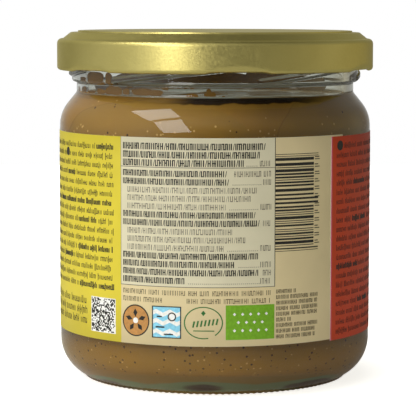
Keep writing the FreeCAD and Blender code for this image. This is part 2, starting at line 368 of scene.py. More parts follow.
@dataclass(frozen=True)
class SeedButter:
    """Oily brown paste with specks of husk and paler crumbs, patches that lie closer to the
    glass, a dark rim of painted shade, a painted grey sheen on its top, painted reflections of
    the glass foot on its underside, and the light that the thick glass round it passes on.

    Heights are in metres, and angles in radians from the front to the right.
    """

    colour: Colour = (0.325, 0.172, 0.028)
    warm: Colour = (0.37, 0.188, 0.026)
    damp: Colour = (0.295, 0.170, 0.030)
    # Dark brown of the husk specks and the patches' outlines, also used for painted shade on the
    # smears above the fill and for the dark line painted under the foot.
    husk_and_shade: Colour = (0.062, 0.027, 0.008)
    crumb: Colour = (0.60, 0.38, 0.11)
    # Colour of the dark rim of painted shade at the fill's edge.
    painted_rim_shade: Colour = (0.022, 0.012, 0.005)
    # Pale grey of the painted sheen on the top.
    sheen_grey: Colour = (0.42, 0.44, 0.36)
    shade: Colour = (0.16, 0.085, 0.018)
    # Green of the painted reflection of the glass foot.
    green: Colour = (0.20, 0.25, 0.11)
    patches: tuple[Patch, ...] = (
        Patch(0.84, 0.43, 0.0670, 0.0095), Patch(-0.50, 0.74, 0.0655, 0.0100, fade=-0.62),
        Patch(1.95, 0.40, 0.0660, 0.0090), Patch(2.9, 0.40, 0.0650, 0.0085),
        Patch(-2.1, 0.45, 0.0655, 0.0095))
    patch_depth: float = 0.6
    patch_outline: float = 0.20
    husks: Specks = Specks(590.0, 0.20, 0.85, 0.10)
    crumbs: Specks = Specks(640.0, 0.185, 0.9, 0.06)
    low_crumbs: float = 0.36
    low_part: Span = (0.030, 0.060)
    under_shoulder: Span = (0.0675, 0.0715)
    rim_foot: Span = (0.0752, 0.0756)
    rim_left: Span = (-0.42, -0.12)
    rim_right: Span = (0.55, 0.95)
    rim_aside: float = 0.25
    ragged: float = 0.0012
    smear_foot: Span = (0.0768, 0.0769)
    shaded_smears: float = 0.34
    heel: Span = (0.0065, 0.0125)
    heel_glow: float = 0.27
    heel_sides: Span = (-0.035, 0.035)
    heel_shares: Span = (1.2, 0.35)
    shoulder: Span = (0.060, 0.070)
    shoulder_end: Span = (0.0755, 0.0765)
    shoulder_glow: float = 0.13
    shoulder_sides: Span = (-0.025, 0.015)
    top: Span = (0.0755, 0.0760)
    top_glow: float = 0.27
    green_edge: float = 0.0325
    green_bend: float = 0.0068

    def reach_of(self, tree: NodeTree, turn: Socket, height: Socket, patch: Patch) -> Socket:
        """How far out in a patch a place lies: 1 on its wavy outline, less inside.

        It is the length of the two offsets from the patch's middle, each over its half size,
        plus a slow noise.

        Args:
            tree: The tree that it goes into.
            turn, height: Angle and height of the place.
            patch: The patch.

        Returns:
            The value's socket.
        """
        across = tree.calculate("MULTIPLY_ADD", turn, 1.0 / patch.half,
                                -patch.middle / patch.half)
        up = tree.calculate("MULTIPLY_ADD", height, 1.0 / patch.rise,
                            -patch.level / patch.rise)
        square = tree.calculate("ADD", tree.product(across, across), tree.product(up, up))
        out = tree.calculate("POWER", square, 0.5)
        wander = tree.calculate("MULTIPLY_ADD", tree.noise(75.0, 1.0, 0.4), 0.3, -0.15)
        return tree.calculate("ADD", out, wander)

    def patched(self, tree: NodeTree, turn: Socket, height: Socket, paste: Socket) -> Socket:
        """Lay the patches over the paste, each with a thin dark outline just inside its edge.

        Args:
            tree: The tree that they go into.
            turn, height: Angle and height of the place.
            paste: Colour of the paste so far.

        Returns:
            The new colour's socket.
        """
        for patch in self.patches:
            reach = self.reach_of(tree, turn, height, patch)
            inside = tree.ease(reach, 1.03, 0.97, 0.0, self.patch_depth)
            outline = tree.product(tree.ease(reach, 0.975, 0.99),
                                   tree.ease(reach, 1.008, 0.993, 0.0, self.patch_outline),
                                   tree.ease(turn, patch.fade, patch.fade + 0.3, 1.0, 0.0))
            paste = tree.blend(inside, paste, self.damp)
            paste = tree.blend(outline, paste, self.husk_and_shade)
        return paste

    def scattered(self, tree: NodeTree, specks: Specks, share: Socket) -> Socket:
        """Mask of scattered round specks: near the middle of some of the cells of a Voronoi pattern.

        Args:
            tree: The tree that it goes into.
            specks: Their cells and size.
            share: Share of the cells that hold one.

        Returns:
            Mask of 0 to 1, with a soft edge.
        """
        cells = tree.add("TexVoronoi", {"Vector": tree.place(), "Scale": specks.per_metre})
        near = tree.ease(cells.outputs["Distance"], specks.size * 0.8, specks.size, 1.0, 0.0)
        chance = tree.add("SeparateColor", {0: cells.outputs["Color"]}).outputs[0]
        return tree.product(near, tree.calculate("LESS_THAN", chance, share))

    def speckled(self, tree: NodeTree, height: Socket, paste: Socket) -> Socket:
        """Strew husks, densest near the base, and crumbs, which also gather under the shoulder.

        Args:
            tree: The tree that they go into.
            height: Height of the place.
            paste: Colour of the paste so far.

        Returns:
            The new colour's socket.
        """
        husks, crumbs = self.husks, self.crumbs
        husk_share = tree.ease(height, *self.low_part, husks.low_share, husks.high_share)
        paste = tree.blend(self.scattered(tree, husks, husk_share), paste, self.husk_and_shade)
        high_crumbs = tree.ease(height, *self.under_shoulder, crumbs.low_share,
                                crumbs.high_share)
        crumb_share = tree.blend(tree.ease(height, *self.low_part), (self.low_crumbs,) * 3,
                                 high_crumbs)
        return tree.blend(self.scattered(tree, crumbs, crumb_share), paste, self.crumb)

    def with_painted_shade(self, tree: NodeTree, turn: Socket, height: Socket, paste: Socket) -> Socket:
        """Paint shade on the smears above the fill, and a dark rim of painted shade along the front
        of its edge.

        Args:
            tree: The tree that they go into.
            turn, height: Angle and height of the place.
            paste: Colour of the paste so far.

        Returns:
            The new colour's socket.
        """
        # Painted shade: a dark rim along the front of the fill's edge, strong at the front and faint
        # at the sides.
        edge = tree.calculate("MULTIPLY_ADD", tree.noise(260.0), self.ragged, height)
        rim = tree.product(tree.ease(edge, *self.rim_foot),
                           tree.ease(turn, *self.rim_left, self.rim_aside, 1.0),
                           tree.ease(turn, *self.rim_right, 1.0, 0.0),
                           tree.ease(height, *self.smear_foot, 1.0, 0.0))
        # Painted shade: the smears above the fill are darkened towards the husk colour.
        above = tree.ease(height, *self.smear_foot, 0.0, self.shaded_smears)
        return tree.blend(rim, tree.blend(above, paste, self.husk_and_shade), self.painted_rim_shade)

    def piped_light(self, tree: NodeTree, across: Socket, height: Socket,
                    oily: Socket) -> Socket:
        """Strength of the light that the glass passes on: in the heel, brightest at the left,
        under the left of the shoulder, and in the oily top.

        Args:
            tree: The tree that it goes into.
            across, height: The place's X and its height.
            oily: Mask of the oily top.

        Returns:
            The strength's socket.
        """
        heel = tree.product(tree.ease(height, *self.heel, self.heel_glow, 0.0),
                            tree.ease(across, *self.heel_sides, *self.heel_shares))
        lit = tree.product(tree.ease(height, *self.shoulder),
                           tree.ease(height, *self.shoulder_end, self.shoulder_glow, 0.0))
        leftward = tree.ease(across, *self.shoulder_sides, 1.0, 0.0)
        glow = tree.calculate("MULTIPLY_ADD", lit, leftward, heel)
        return tree.calculate("MULTIPLY_ADD", oily, self.top_glow, glow)

    def footed(self, tree: NodeTree, at: bpy.types.Node, turn: Socket, up: Socket,
               paste: Socket) -> Socket:
        """Paint on the underside the dark and the green line that stand in for the reflections in
        the glass foot.

        The lines lie at equal radii in front and bend inwards towards the sides.

        Args:
            tree: The tree that they go into.
            at: The place's three coordinates.
            turn: Its angle.
            up: How far the surface looks up, -1 to 1.
            paste: Colour of the paste so far.

        Returns:
            The new colour's socket.
        """
        flat = tree.add("CombineXYZ", {0: at.outputs["X"], 1: at.outputs["Y"]}).outputs[0]
        radius = tree.add("VectorMath", {0: flat}, operation="LENGTH").outputs["Value"]
        under = tree.product(tree.ease(up, -0.5, -0.8),
                             tree.ease(radius, self.green_edge, self.green_edge - 0.002))
        aside = tree.calculate("MAXIMUM", tree.product(turn, 1.2), tree.product(turn, -1.0))
        inward = tree.calculate("ADD", radius,
                                tree.ease(aside, 0.40, 1.35, 0.0, -self.green_bend))
        wobble = tree.calculate("MULTIPLY_ADD", tree.noise(60.0), 0.003, inward)
        # Painted reflection: the dark and the green line that the thick glass foot shows, painted on
        # the paste's underside.
        rings = tree.ramp(tree.product(wobble, 30.0), [
            (0.72, self.shade), (0.752, self.husk_and_shade), (0.768, self.husk_and_shade), (0.778, self.green),
            (0.802, self.green), (0.812, self.damp)])
        return tree.blend(under, paste, rings)

    def material(self) -> bpy.types.Material:
        """Brown paste that drifts in warmth, with all that lies in it and on it.

        Returns:
            The material.
        """
        material, tree = new_material("seed_butter")
        at = tree.add("SeparateXYZ", {0: tree.place()})
        across, height = at.outputs["X"], at.outputs["Z"]
        turn = tree.calculate("ARCTAN2", across, tree.product(at.outputs["Y"], -1.0))
        up = tree.add("SeparateXYZ", {0: tree.add("NewGeometry").outputs["Normal"]}).outputs["Z"]
        paste = tree.ramp(tree.noise(45.0, 3.0, 0.55), [(0.32, self.colour), (0.68, self.warm)])
        paste = self.patched(tree, turn, height, paste)
        paste = self.speckled(tree, height, paste)
        paste = self.with_painted_shade(tree, turn, height, paste)
        # Painted sheen: upward faces of the top are blended towards a pale grey that stands in for a
        # reflection; they also take a gloss coat.
        oily = tree.product(tree.ease(up, 0.6, 0.9), tree.ease(height, *self.top))
        painted_sheen = tree.ramp(tree.noise(110.0, 3.0), [(0.35, self.damp), (0.6, self.sheen_grey)])
        paste = tree.blend(oily, paste, painted_sheen)
        paste = self.footed(tree, at, turn, up, paste)
        body = tree.add("BsdfPrincipled", {
            "Base Color": paste, "Specular IOR Level": 0.1,
            "Roughness": tree.ease(oily, 0.2, 0.8, 0.5, 0.16),
            "Coat Weight": oily, "Coat Roughness": 0.12, "Emission Color": paste,
            "Emission Strength": self.piped_light(tree, across, height, oily),
            "Normal": tree.bump(tree.noise(900.0), 0.00004, 0.4)})
        tree.finish(body.outputs[0])
        return material


@dataclass(frozen=True)
class PrintedPaper:
    """One printed field of the label: fibre relief, slight unevenness and a soft gloss."""

    name: str
    colour: Colour

    def material(self) -> bpy.types.Material:
        """Coated paper of this colour.

        Returns:
            The material.
        """
        material, tree = new_material("paper_" + self.name)
        uneven = tree.noise(160.0, 3.0)
        fibre = tree.noise(2600.0, 2.0, 0.6)
        dull = tuple(0.95 * channel for channel in self.colour)
        colour = tree.ramp(uneven, [(0.3, dull), (0.7, self.colour)])
        sheet = tree.add("BsdfPrincipled", {
            "Base Color": colour, "Roughness": 0.52, "Specular IOR Level": 0.4,
            "Normal": tree.bump(fibre, 0.00002, 0.25)})
        tree.finish(sheet.outputs[0])
        return material


@dataclass(frozen=True)
class PrintersInk:
    """One ink of the label's print, a little uneven as printed ink is."""

    name: str
    colour: Colour

    def material(self) -> bpy.types.Material:
        """Thin ink of this colour.

        Returns:
            The material.
        """
        material, tree = new_material("ink_" + self.name)
        pale = tuple(min(1.0, 1.25 * channel + 0.004) for channel in self.colour)
        colour = tree.ramp(tree.noise(1500.0, 2.0), [(0.35, self.colour), (0.7, pale)])
        ink = tree.add("BsdfPrincipled", {
            "Base Color": colour, "Roughness": 0.5, "Specular IOR Level": 0.35})
        tree.finish(ink.outputs[0])
        return material


@dataclass(frozen=True)
class StudioFloor:
    """Plain pale sweep of paper under the jar, which melts into the white ground away from it."""

    colour: Colour = (0.70, 0.70, 0.68)
    light: Colour = (1.0, 0.99, 0.95)
    shown_glow: Span = (0.75, 1.2)
    melting: Span = (0.04, 0.065)
    matte_glow: float = 0.60
    mirrored_glow: float = 0.10
    glowing: Span = (0.04, 0.35)
    sides: Span = (-0.1, 0.1)
    side_shares: Span = (1.35, 0.1)

    def material(self) -> bpy.types.Material:
        """Matte white that glows round the jar, most at the left, and for the camera everywhere.

        Returns:
            The material.
        """
        material, tree = new_material("studio_floor")
        pale = tuple(0.98 * channel for channel in self.colour)
        colour = tree.ramp(tree.noise(3.0), [(0.3, pale), (0.7, self.colour)])
        rays = tree.add("LightPath")
        away = tree.add("VectorMath", {0: tree.place()}, operation="LENGTH").outputs["Value"]
        share = tree.calculate("MULTIPLY_ADD", rays.outputs["Is Diffuse Ray"],
                               self.matte_glow - self.mirrored_glow, self.mirrored_glow)
        across = tree.add("SeparateXYZ", {0: tree.place()}).outputs["X"]
        near = tree.product(share, tree.product(tree.remap(away, *self.glowing, 1.0, 0.0),
                                                tree.remap(across, *self.sides,
                                                           *self.side_shares)))
        shown = tree.remap(away, *self.melting, *self.shown_glow)
        sweep = tree.add("BsdfPrincipled", {
            "Base Color": colour, "Roughness": 0.9, "Specular IOR Level": 0.1,
            "Emission Color": self.light,
            "Emission Strength": tree.calculate("MULTIPLY_ADD", rays.outputs["Is Camera Ray"],
                                                shown, near)})
        tree.finish(sweep.outputs[0])
        material.cycles.emission_sampling = "NONE"
        return material


# ---------------------------------------------------------------- surfaces

def rounded(corners: Sequence[Corner], step: float = 9.0) -> np.ndarray:
    """Line through corners, each rounded by an arc tangent to its two sides.

    The arc of radius r at a corner that turns by the angle a starts r * tan(a / 2) before it,
    and its points lie at equal angles about the arc's centre.

    Args:
        corners: Radius, height and rounding of each corner, in mm; no rounding keeps it sharp.
        step: Largest angle between two points of an arc, in degrees.

    Returns:
        Points of the line, one (radius, height) per row.
    """
    runs = []
    for index, (across, up, radius) in enumerate(corners):
        point = np.array([across, up])
        if not radius or index in (0, len(corners) - 1):
            runs.append(point[None])
            continue
        back = np.array(corners[index - 1][:2]) - point
        ahead = np.array(corners[index + 1][:2]) - point
        back, ahead = back / np.linalg.norm(back), ahead / np.linalg.norm(ahead)
        turn = math.pi - math.acos(float(np.clip(back @ ahead, -1.0, 1.0)))
        centre = point + (back + ahead) / np.linalg.norm(back + ahead) * radius / math.cos(turn / 2)
        start = point + back * radius * math.tan(turn / 2) - centre
        side = 1.0 if back[0] * ahead[1] - back[1] * ahead[0] < 0 else -1.0
        angles = side * np.linspace(0.0, turn, max(2, math.ceil(math.degrees(turn) / step)) + 1)
        cosines, sines = np.cos(angles), np.sin(angles)
        runs.append(centre + np.stack([cosines * start[0] - sines * start[1],
                                       sines * start[0] + cosines * start[1]], axis=1))
    return np.concatenate(runs)


def arc(centre: Place, radius: float, start: float, end: float, count: int) -> np.ndarray:
    """Points on a circle at equal angles.

    Args:
        centre: Radius and height of the centre, in mm.
        radius: The circle's radius.
        start, end: First and last angle in degrees, anticlockwise from outwards.
        count: How many points.

    Returns:
        Points, one (radius, height) per row.
    """
    angles = np.radians(np.linspace(start, end, count))
    return np.array(centre) + radius * np.stack([np.cos(angles), np.sin(angles)], axis=1)


def divided(line: np.ndarray, longest: float) -> np.ndarray:
    """The line with points added so that no side is longer than the given length.

    Args:
        line: Points, one (radius, height) per row.
        longest: The longest that a side may be.

    Returns:
        The line with its new points.
    """
    lengths = np.linalg.norm(np.diff(line, axis=0), axis=1)
    shares = [np.linspace(0.0, 1.0, max(1, math.ceil(length / longest)), endpoint=False)
              for length in lengths]
    runs = [first + share[:, None] * (last - first)
            for first, last, share in zip(line[:-1], line[1:], shares)]
    return np.concatenate(runs + [line[-1:]])


def held(line: np.ndarray, near: float = 0.12, longest: float = 1.2) -> np.ndarray:
    """The line with a point close to each end of every long side, which keeps flat sides flat
    under smooth shading.

    Args:
        line: Points, one (radius, height) per row.
        near: Distance of the new points from the ends, in mm.
        longest: Length of a side from which it counts as long.

    Returns:
        The line with its new points.
    """
    runs = []
    for first, last in zip(line[:-1], line[1:]):
        length = np.linalg.norm(last - first)
        runs.append(first[None])
        if length > longest:
            step = (last - first) * near / length
            runs.append(np.stack([first + step, last - step]))
    return np.concatenate(runs + [line[-1:]])


def turned_faces(rows: int, columns: int) -> np.ndarray:
    """Faces of a grid closed round: each cell joins two rows and two columns, the last to the first.

    Args:
        rows: Rows of points, in order round the section from outside below to inside.
        columns: Points in a row, anticlockwise from above.

    Returns:
        Four point numbers per face, whose order makes a face point away from the axis on a row
        pair that rises.
    """
    row, column = np.meshgrid(np.arange(rows - 1), np.arange(columns), indexing="ij")
    after = (column + 1) % columns
    cells = np.stack([row * columns + column, row * columns + after,
                      (row + 1) * columns + after, (row + 1) * columns + column], axis=-1)
    return cells.reshape(-1, 4)


def cap_faces(rows: int, columns: int) -> np.ndarray:
    """Triangles that close the first and the last row of a turned grid.

    Args:
        rows: Rows of the grid. The two points that the caps meet at come after its own.
        columns: Points in a row.

    Returns:
        Three point numbers per face, of the first cap and then of the last.
    """
    around = np.arange(columns)
    after = (around + 1) % columns
    first, last, top = rows * columns, rows * columns + 1, (rows - 1) * columns
    return np.concatenate([np.stack([np.full(columns, first), after, around], axis=1),
                           np.stack([top + around, top + after, np.full(columns, last)], axis=1)])


def smooth_step(value: np.ndarray) -> np.ndarray:
    """Ease from 0 to 1: three squares less two cubes of the value, kept within 0 and 1."""
    share = np.clip(value, 0.0, 1.0)
    return share * share * (3.0 - 2.0 * share)


@dataclass
class Piece:
    """A finished mesh in the making: its points in metres, faces and finishes."""

    name: str
    slot: str
    points: np.ndarray
    faces: list[list[int]]
    finishes: Sequence[bpy.types.Material]
    finish_of_face: Optional[np.ndarray] = None
    smooth: bool = True
    uv: Optional[np.ndarray] = None

    def build(self) -> bpy.types.Object:
        """Make the object, put it in the scene and ride it on the jar.

        Returns:
            The new object.
        """
        mesh = bpy.data.meshes.new(self.name)
        mesh.from_pydata(self.points.tolist(), [], self.faces)
        mesh.polygons.foreach_set("use_smooth", np.full(len(mesh.polygons), self.smooth))
        for material in self.finishes:
            mesh.materials.append(material)
        if self.finish_of_face is not None:
            mesh.polygons.foreach_set("material_index", self.finish_of_face.astype(np.int32))
        if self.uv is not None:
            corners = np.empty(len(mesh.loops), np.int32)
            mesh.loops.foreach_get("vertex_index", corners)
            layer = mesh.uv_layers.new(name="UVMap")
            layer.data.foreach_set("uv", self.uv[corners].astype(np.float32).ravel())
        mesh.update()
        thing = bpy.data.objects.new(self.name, mesh)
        bpy.context.scene.collection.objects.link(thing)
        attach(thing, "root")
        LOG.info("%s: %d faces", self.name, len(self.faces))
        return thing


def turned_piece(name: str, slot: str, radii: np.ndarray, heights: np.ndarray,
                 finishes: Sequence[bpy.types.Material],
                 finish_of_row: Optional[np.ndarray] = None) -> Piece:
    """Closed piece turned about the jar's axis, with a point at each end on the axis.

    A point of the grid at radius r, height z and angle a lies at (r cos a, r sin a, z).

    Args:
        name: The piece's name.
        slot: Its material slot's name, kept on the piece and not used.
        radii, heights: Radius and height of each point in mm, one row of the section per row.
            The first and last row lie on the axis.
        finishes: Its materials.
        finish_of_row: Which finish each run between two rows has, or none for the first.

    Returns:
        The piece.
    """
    rows, columns = radii.shape
    angles = np.linspace(0.0, 2.0 * math.pi, columns, endpoint=False)
    inner = slice(1, rows - 1)
    ring = np.stack([radii[inner] * np.cos(angles), radii[inner] * np.sin(angles),
                     heights[inner]], axis=-1).reshape(-1, 3)
    poles = np.array([[0.0, 0.0, heights[0, 0]], [0.0, 0.0, heights[-1, 0]]])
    faces = turned_faces(rows - 2, columns).tolist() + cap_faces(rows - 2, columns).tolist()
    finish = None
    if finish_of_row is not None:
        finish = np.concatenate([np.repeat(finish_of_row[1:-1], columns),
                                 np.repeat(finish_of_row[:1], columns),
                                 np.repeat(finish_of_row[-1:], columns)])
    return Piece(name, slot, np.concatenate([ring, poles]) * MM, faces, finishes, finish)


# ---------------------------------------------------------------- glass jar

@dataclass
class GlassJar:
    """Moulded jar: pushed-up base, knurled standing ring, rounded heel, straight wall, rounded
    and coned shoulder, grooved neck and a twist-off finish with six slanted ridges."""

    body_radius: float = 42.3
    wall: float = 2.8
    push_up: float = 2.2
    push_up_reach: float = 29.36
    foot_inner: float = 33.36
    foot_radius: float = 35.96
    foot_lift: float = 0.6
    heel_radius: float = 10.9
    heel_centre: float = 10.5
    shoulder_start: float = 68.3
    shoulder_radius: float = 9.7
    shoulder_angle: float = 39.0
    neck_radius: float = 37.7
    shoulder_top: float = 77.415
    finish_bottom: float = 80.215
    finish_radius: float = 39.0
    lip_top: float = 92.415
    bore_radius: float = 35.2
    bore_foot: float = 76.05
    inner_heel: float = 6.0
    floor: float = 6.4
    push_up_rounding: float = 2.0
    foot_rounding: float = 0.35
    neck_rounding: float = 1.0
    finish_rounding: Span = (0.45, 0.8)
    lip_rounding: float = 0.8
    knurls: int = 135
    knurl_depth: float = 0.42
    knurl_reach: float = 1.6
    ridges: int = 6
    ridge_tip_angle: float = 46.3
    ridge_tip_height: float = 81.17
    ridge_climb: float = 0.078
    ridge_span: float = 52.0
    ridge_low: float = 0.3
    ridge_high: float = 1.8
    ridge_width: float = 1.85
    ridge_nose: float = 0.8
    ridge_ends: Span = (1.6, 3.0)
    ridge_zone: Span = (1.15, 7.0)
    ridge_rows: int = 34
    columns: int = 504
    finish: ClearGlass = field(default_factory=ClearGlass)

    def section(self) -> np.ndarray:
        """Whole section from the axis, under the base, up the outside, over the lip and down again.

        Returns:
            Points in mm, one (radius, height) per row.
        """
        centre = self.body_radius - self.shoulder_radius
        heel = (self.body_radius - self.heel_radius, self.heel_centre)
        foot_turn = math.degrees(math.atan2(self.foot_lift - self.heel_centre,
                                            self.foot_radius - heel[0]))
        below = divided(rounded([
            (0.0, self.push_up, 0.0),
            (self.push_up_reach, self.push_up, self.push_up_rounding),
            (self.foot_inner, 0.0, self.foot_rounding),
            (self.foot_radius, 0.0, self.foot_rounding),
            (self.foot_radius, self.foot_lift, 0.0)]), 4.0)
        heel_arc = arc(heel, self.heel_radius, foot_turn, 0.0, 22)
        shoulder = arc((centre, self.shoulder_start), self.shoulder_radius, 0.0,
                       self.shoulder_angle, 14)
        end = shoulder[-1]
        neck = rounded([
            (end[0], end[1], 0.0), (self.neck_radius, self.shoulder_top, self.neck_rounding),
            (self.neck_radius, self.finish_bottom, self.finish_rounding[0]),
            (self.finish_radius, self.finish_bottom, self.finish_rounding[1]),
            (self.finish_radius, self.finish_bottom + 1.0, 0.0)], 15.0)
        low, high = (self.finish_bottom + edge for edge in self.ridge_zone)
        wall = np.stack([np.full(self.ridge_rows, self.finish_radius),
                         np.linspace(low, high, self.ridge_rows)], 1)
        lip = rounded([
            (self.finish_radius, high + 0.5, 0.0),
            (self.finish_radius, self.lip_top, self.lip_rounding),
            (self.bore_radius, self.lip_top, self.lip_rounding),
            (self.bore_radius, self.bore_foot, 0.0)], 18.0)
        inside = arc((centre, self.shoulder_start), self.shoulder_radius - self.wall,
                     self.shoulder_angle, 0.0, 7)
        inner_wall = self.body_radius - self.wall
        floor = rounded([
            (inner_wall, self.shoulder_start - 0.5, 0.0), (inner_wall, self.floor, self.inner_heel),
            (0.0, self.floor, 0.0)])
        return held(np.concatenate([below[:-1], heel_arc, shoulder, neck[1:], wall, lip, inside,
                                    floor]))

    def ridge_relief(self, radii: np.ndarray, heights: np.ndarray,
                     azimuths: np.ndarray) -> np.ndarray:
        """Add the slanted ridges to the finish.

        Each ridge's middle climbs evenly with the angle from its low end, its crest grows evenly
        outwards, and its section eases from the wall to a flat nose. The wall moves out to the
        crest by that ease, so ridge and bead run into each other near the low end.

        Args:
            radii, heights: The section's points, one per row.
            azimuths: Angles of the columns, in degrees.

        Returns:
            The radius at each row and column.
        """
        on_finish = ((radii > self.neck_radius + 0.3) & (heights > self.finish_bottom - 0.1)
                     & (heights < self.finish_bottom + self.ridge_zone[1] + 1.0))
        result = np.repeat(radii[:, None], len(azimuths), axis=1)
        travel = (azimuths - self.ridge_tip_angle) % (360.0 / self.ridges)
        for lap in (0.0, 360.0 / self.ridges):
            along = travel + lap
            middle = self.ridge_tip_height + self.ridge_climb * along
            crest = self.finish_radius + self.ridge_low + (
                self.ridge_high - self.ridge_low) * along / self.ridge_span
            ends = (smooth_step(along / self.ridge_ends[0])
                    * smooth_step((self.ridge_span - along) / self.ridge_ends[1]))
            away = np.abs(heights[:, None] - middle[None])
            flank = (self.ridge_width - self.ridge_nose) / 2.0
            ease = smooth_step((self.ridge_width / 2.0 - away) / flank) * ends[None]
            ease = ease * on_finish[:, None]
            result = np.maximum(result, result + ease * (crest[None] - result))
        return result

    def build(self) -> bpy.types.Object:
        """Make the jar, with small knurls pressed up into its standing ring.

        The notches between two knurls rise by their depth, less the size of a sine of the angle,
        and are eased to nothing at the ring's two edges.

        Returns:
            The jar.
        """
        section = self.section()
        azimuths = np.linspace(0.0, 360.0, self.columns, endpoint=False)
        radii = self.ridge_relief(section[:, 0], section[:, 1], azimuths)
        heights = np.repeat(section[:, 1:], self.columns, axis=1)
        middle = (self.foot_inner + self.foot_radius) / 2.0
        away = np.abs(section[:, 0] - middle)
        on_ring = smooth_step(1.25 * (self.knurl_reach - away)) * (section[:, 1] < 0.9)
        wave = 1.0 - np.abs(np.sin(np.radians(azimuths) * self.knurls / 2.0))
        heights = heights + self.knurl_depth * on_ring[:, None] * wave[None]
        piece = turned_piece("jar_glass", "jar_glass", radii, heights, [self.finish.material()])
        jar = piece.build()
        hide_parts("glass_jar")
        return jar


# ---------------------------------------------------------------- lid

@dataclass
class TwistLid:
    """Gold lid: raised panel, flat ring, cone, rounded skirt rolled into a curl, and six places
    where the curl is pressed in to make a lug."""

    jar: GlassJar
    panel_top: float = 93.965
    panel_radius: float = 37.3
    panel_rounding: float = 0.05
    panel_slope: float = 0.06
    ring_top: float = 93.515
    ring_foot_rounding: float = 0.12
    ring_radius: float = 39.3
    ring_rounding: float = 0.35
    shelf_radius: float = 41.4
    shelf_top: float = 91.865
    shelf_rounding: float = 0.3
    radius: float = 43.0
    skirt_rounding: float = 1.35
    curl_radius: float = 0.9
    curl_middle: float = 84.255
    sheet: float = 0.2
    seal_inner: float = 34.8
    seal_outer: float = 39.75
    seal_rounding: float = 0.3
    pressed: Span = (0.3, 2.6)
    presses: int = 6
    press_angle: float = 98.0
    press_half: float = 11.5
    press_height: float = 2.3
    press_depth: float = 0.22
    press_lift: float = 0.42
    press_fade: float = 1.5
    columns: int = 480
    outer: GoldLacquer = field(default_factory=GoldLacquer)
    inner: InnerLacquer = field(default_factory=InnerLacquer)

    def section(self) -> tuple[np.ndarray, np.ndarray]:
        """Section from the axis over the top, down the skirt, round the curl and back inside.

        Returns:
            Points in mm, one (radius, height) per row, and which of them are on the gold side.
        """
        sheet = self.sheet
        seal_face = self.jar.lip_top
        curl = (self.radius - self.curl_radius, self.curl_middle)
        low, high = (self.curl_middle + edge for edge in self.pressed)
        wall_end = high + 0.4
        outside = np.concatenate([
            divided(rounded([
                (0.0, self.panel_top, 0.0),
                (self.panel_radius, self.panel_top, self.panel_rounding),
                (self.panel_radius + self.panel_slope, self.ring_top, self.ring_foot_rounding),
                (self.ring_radius, self.ring_top, self.ring_rounding),
                (self.shelf_radius, self.shelf_top, self.shelf_rounding),
                (self.radius, self.shelf_top, self.skirt_rounding),
                (self.radius, wall_end, 0.0)], 15.0), 6.0),
            np.stack([np.full(9, self.radius), np.linspace(high, low, 9)], 1),
            arc(curl, self.curl_radius, 0.0, -270.0, 15)])
        inside = np.concatenate([
            arc(curl, self.curl_radius - sheet, -270.0, 0.0, 13),
            np.stack([np.full(7, self.radius - sheet), np.linspace(low, high, 7)], 1),
            rounded([
                (self.radius - sheet, wall_end, 0.0),
                (self.radius - sheet, self.shelf_top - sheet, self.skirt_rounding - sheet),
                (self.shelf_radius - 0.1, self.shelf_top - sheet, 0.2),
                (self.seal_outer, seal_face, 0.0),
                (self.seal_inner, seal_face, self.seal_rounding),
                (self.seal_inner, self.panel_top - sheet, self.seal_rounding),
                (0.0, self.panel_top - sheet, 0.0)], 15.0)])
        outside, inside = held(outside), held(inside)
        points = np.concatenate([outside, inside])
        return points[::-1], (np.arange(len(points)) < len(outside))[::-1]

    def build(self) -> bpy.types.Object:
        """Make the lid.

        A press is an arch on the lower skirt: its height falls off as a half circle with the
        angle from its middle, and within it the skirt and curl move in, and the curl up, by an
        ease from the arch's edge down.

        Returns:
            The lid.
        """
        points, golden = self.section()
        azimuths = np.linspace(0.0, 360.0, self.columns, endpoint=False)
        pitch = 360.0 / self.presses
        away = np.abs((azimuths - self.press_angle + pitch / 2.0) % pitch - pitch / 2.0)
        arch = np.sqrt(np.clip(1.0 - (away / self.press_half) ** 2, 0.0, 1.0))
        low = self.curl_middle - self.curl_radius
        below = (low + self.press_height * arch[None] - points[:, 1:]) / self.press_fade
        press = smooth_step(below) * (points[:, :1] > self.ring_radius)
        radii = points[:, :1] - self.press_depth * press
        near_edge = smooth_step((low + 2.0 - points[:, 1:]) / 2.0) * (points[:, :1] > 40.0)
        heights = points[:, 1:] + self.press_lift * near_edge * smooth_step(arch)[None]
        finish = np.where(golden[:-1] & golden[1:], 0, 1)
        piece = turned_piece("twist_lid", "lid_tinplate", radii, heights,
                             [self.outer.material(), self.inner.material()], finish)
        cap = piece.build()
        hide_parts("lid")
        return cap


# ---------------------------------------------------------------- butter

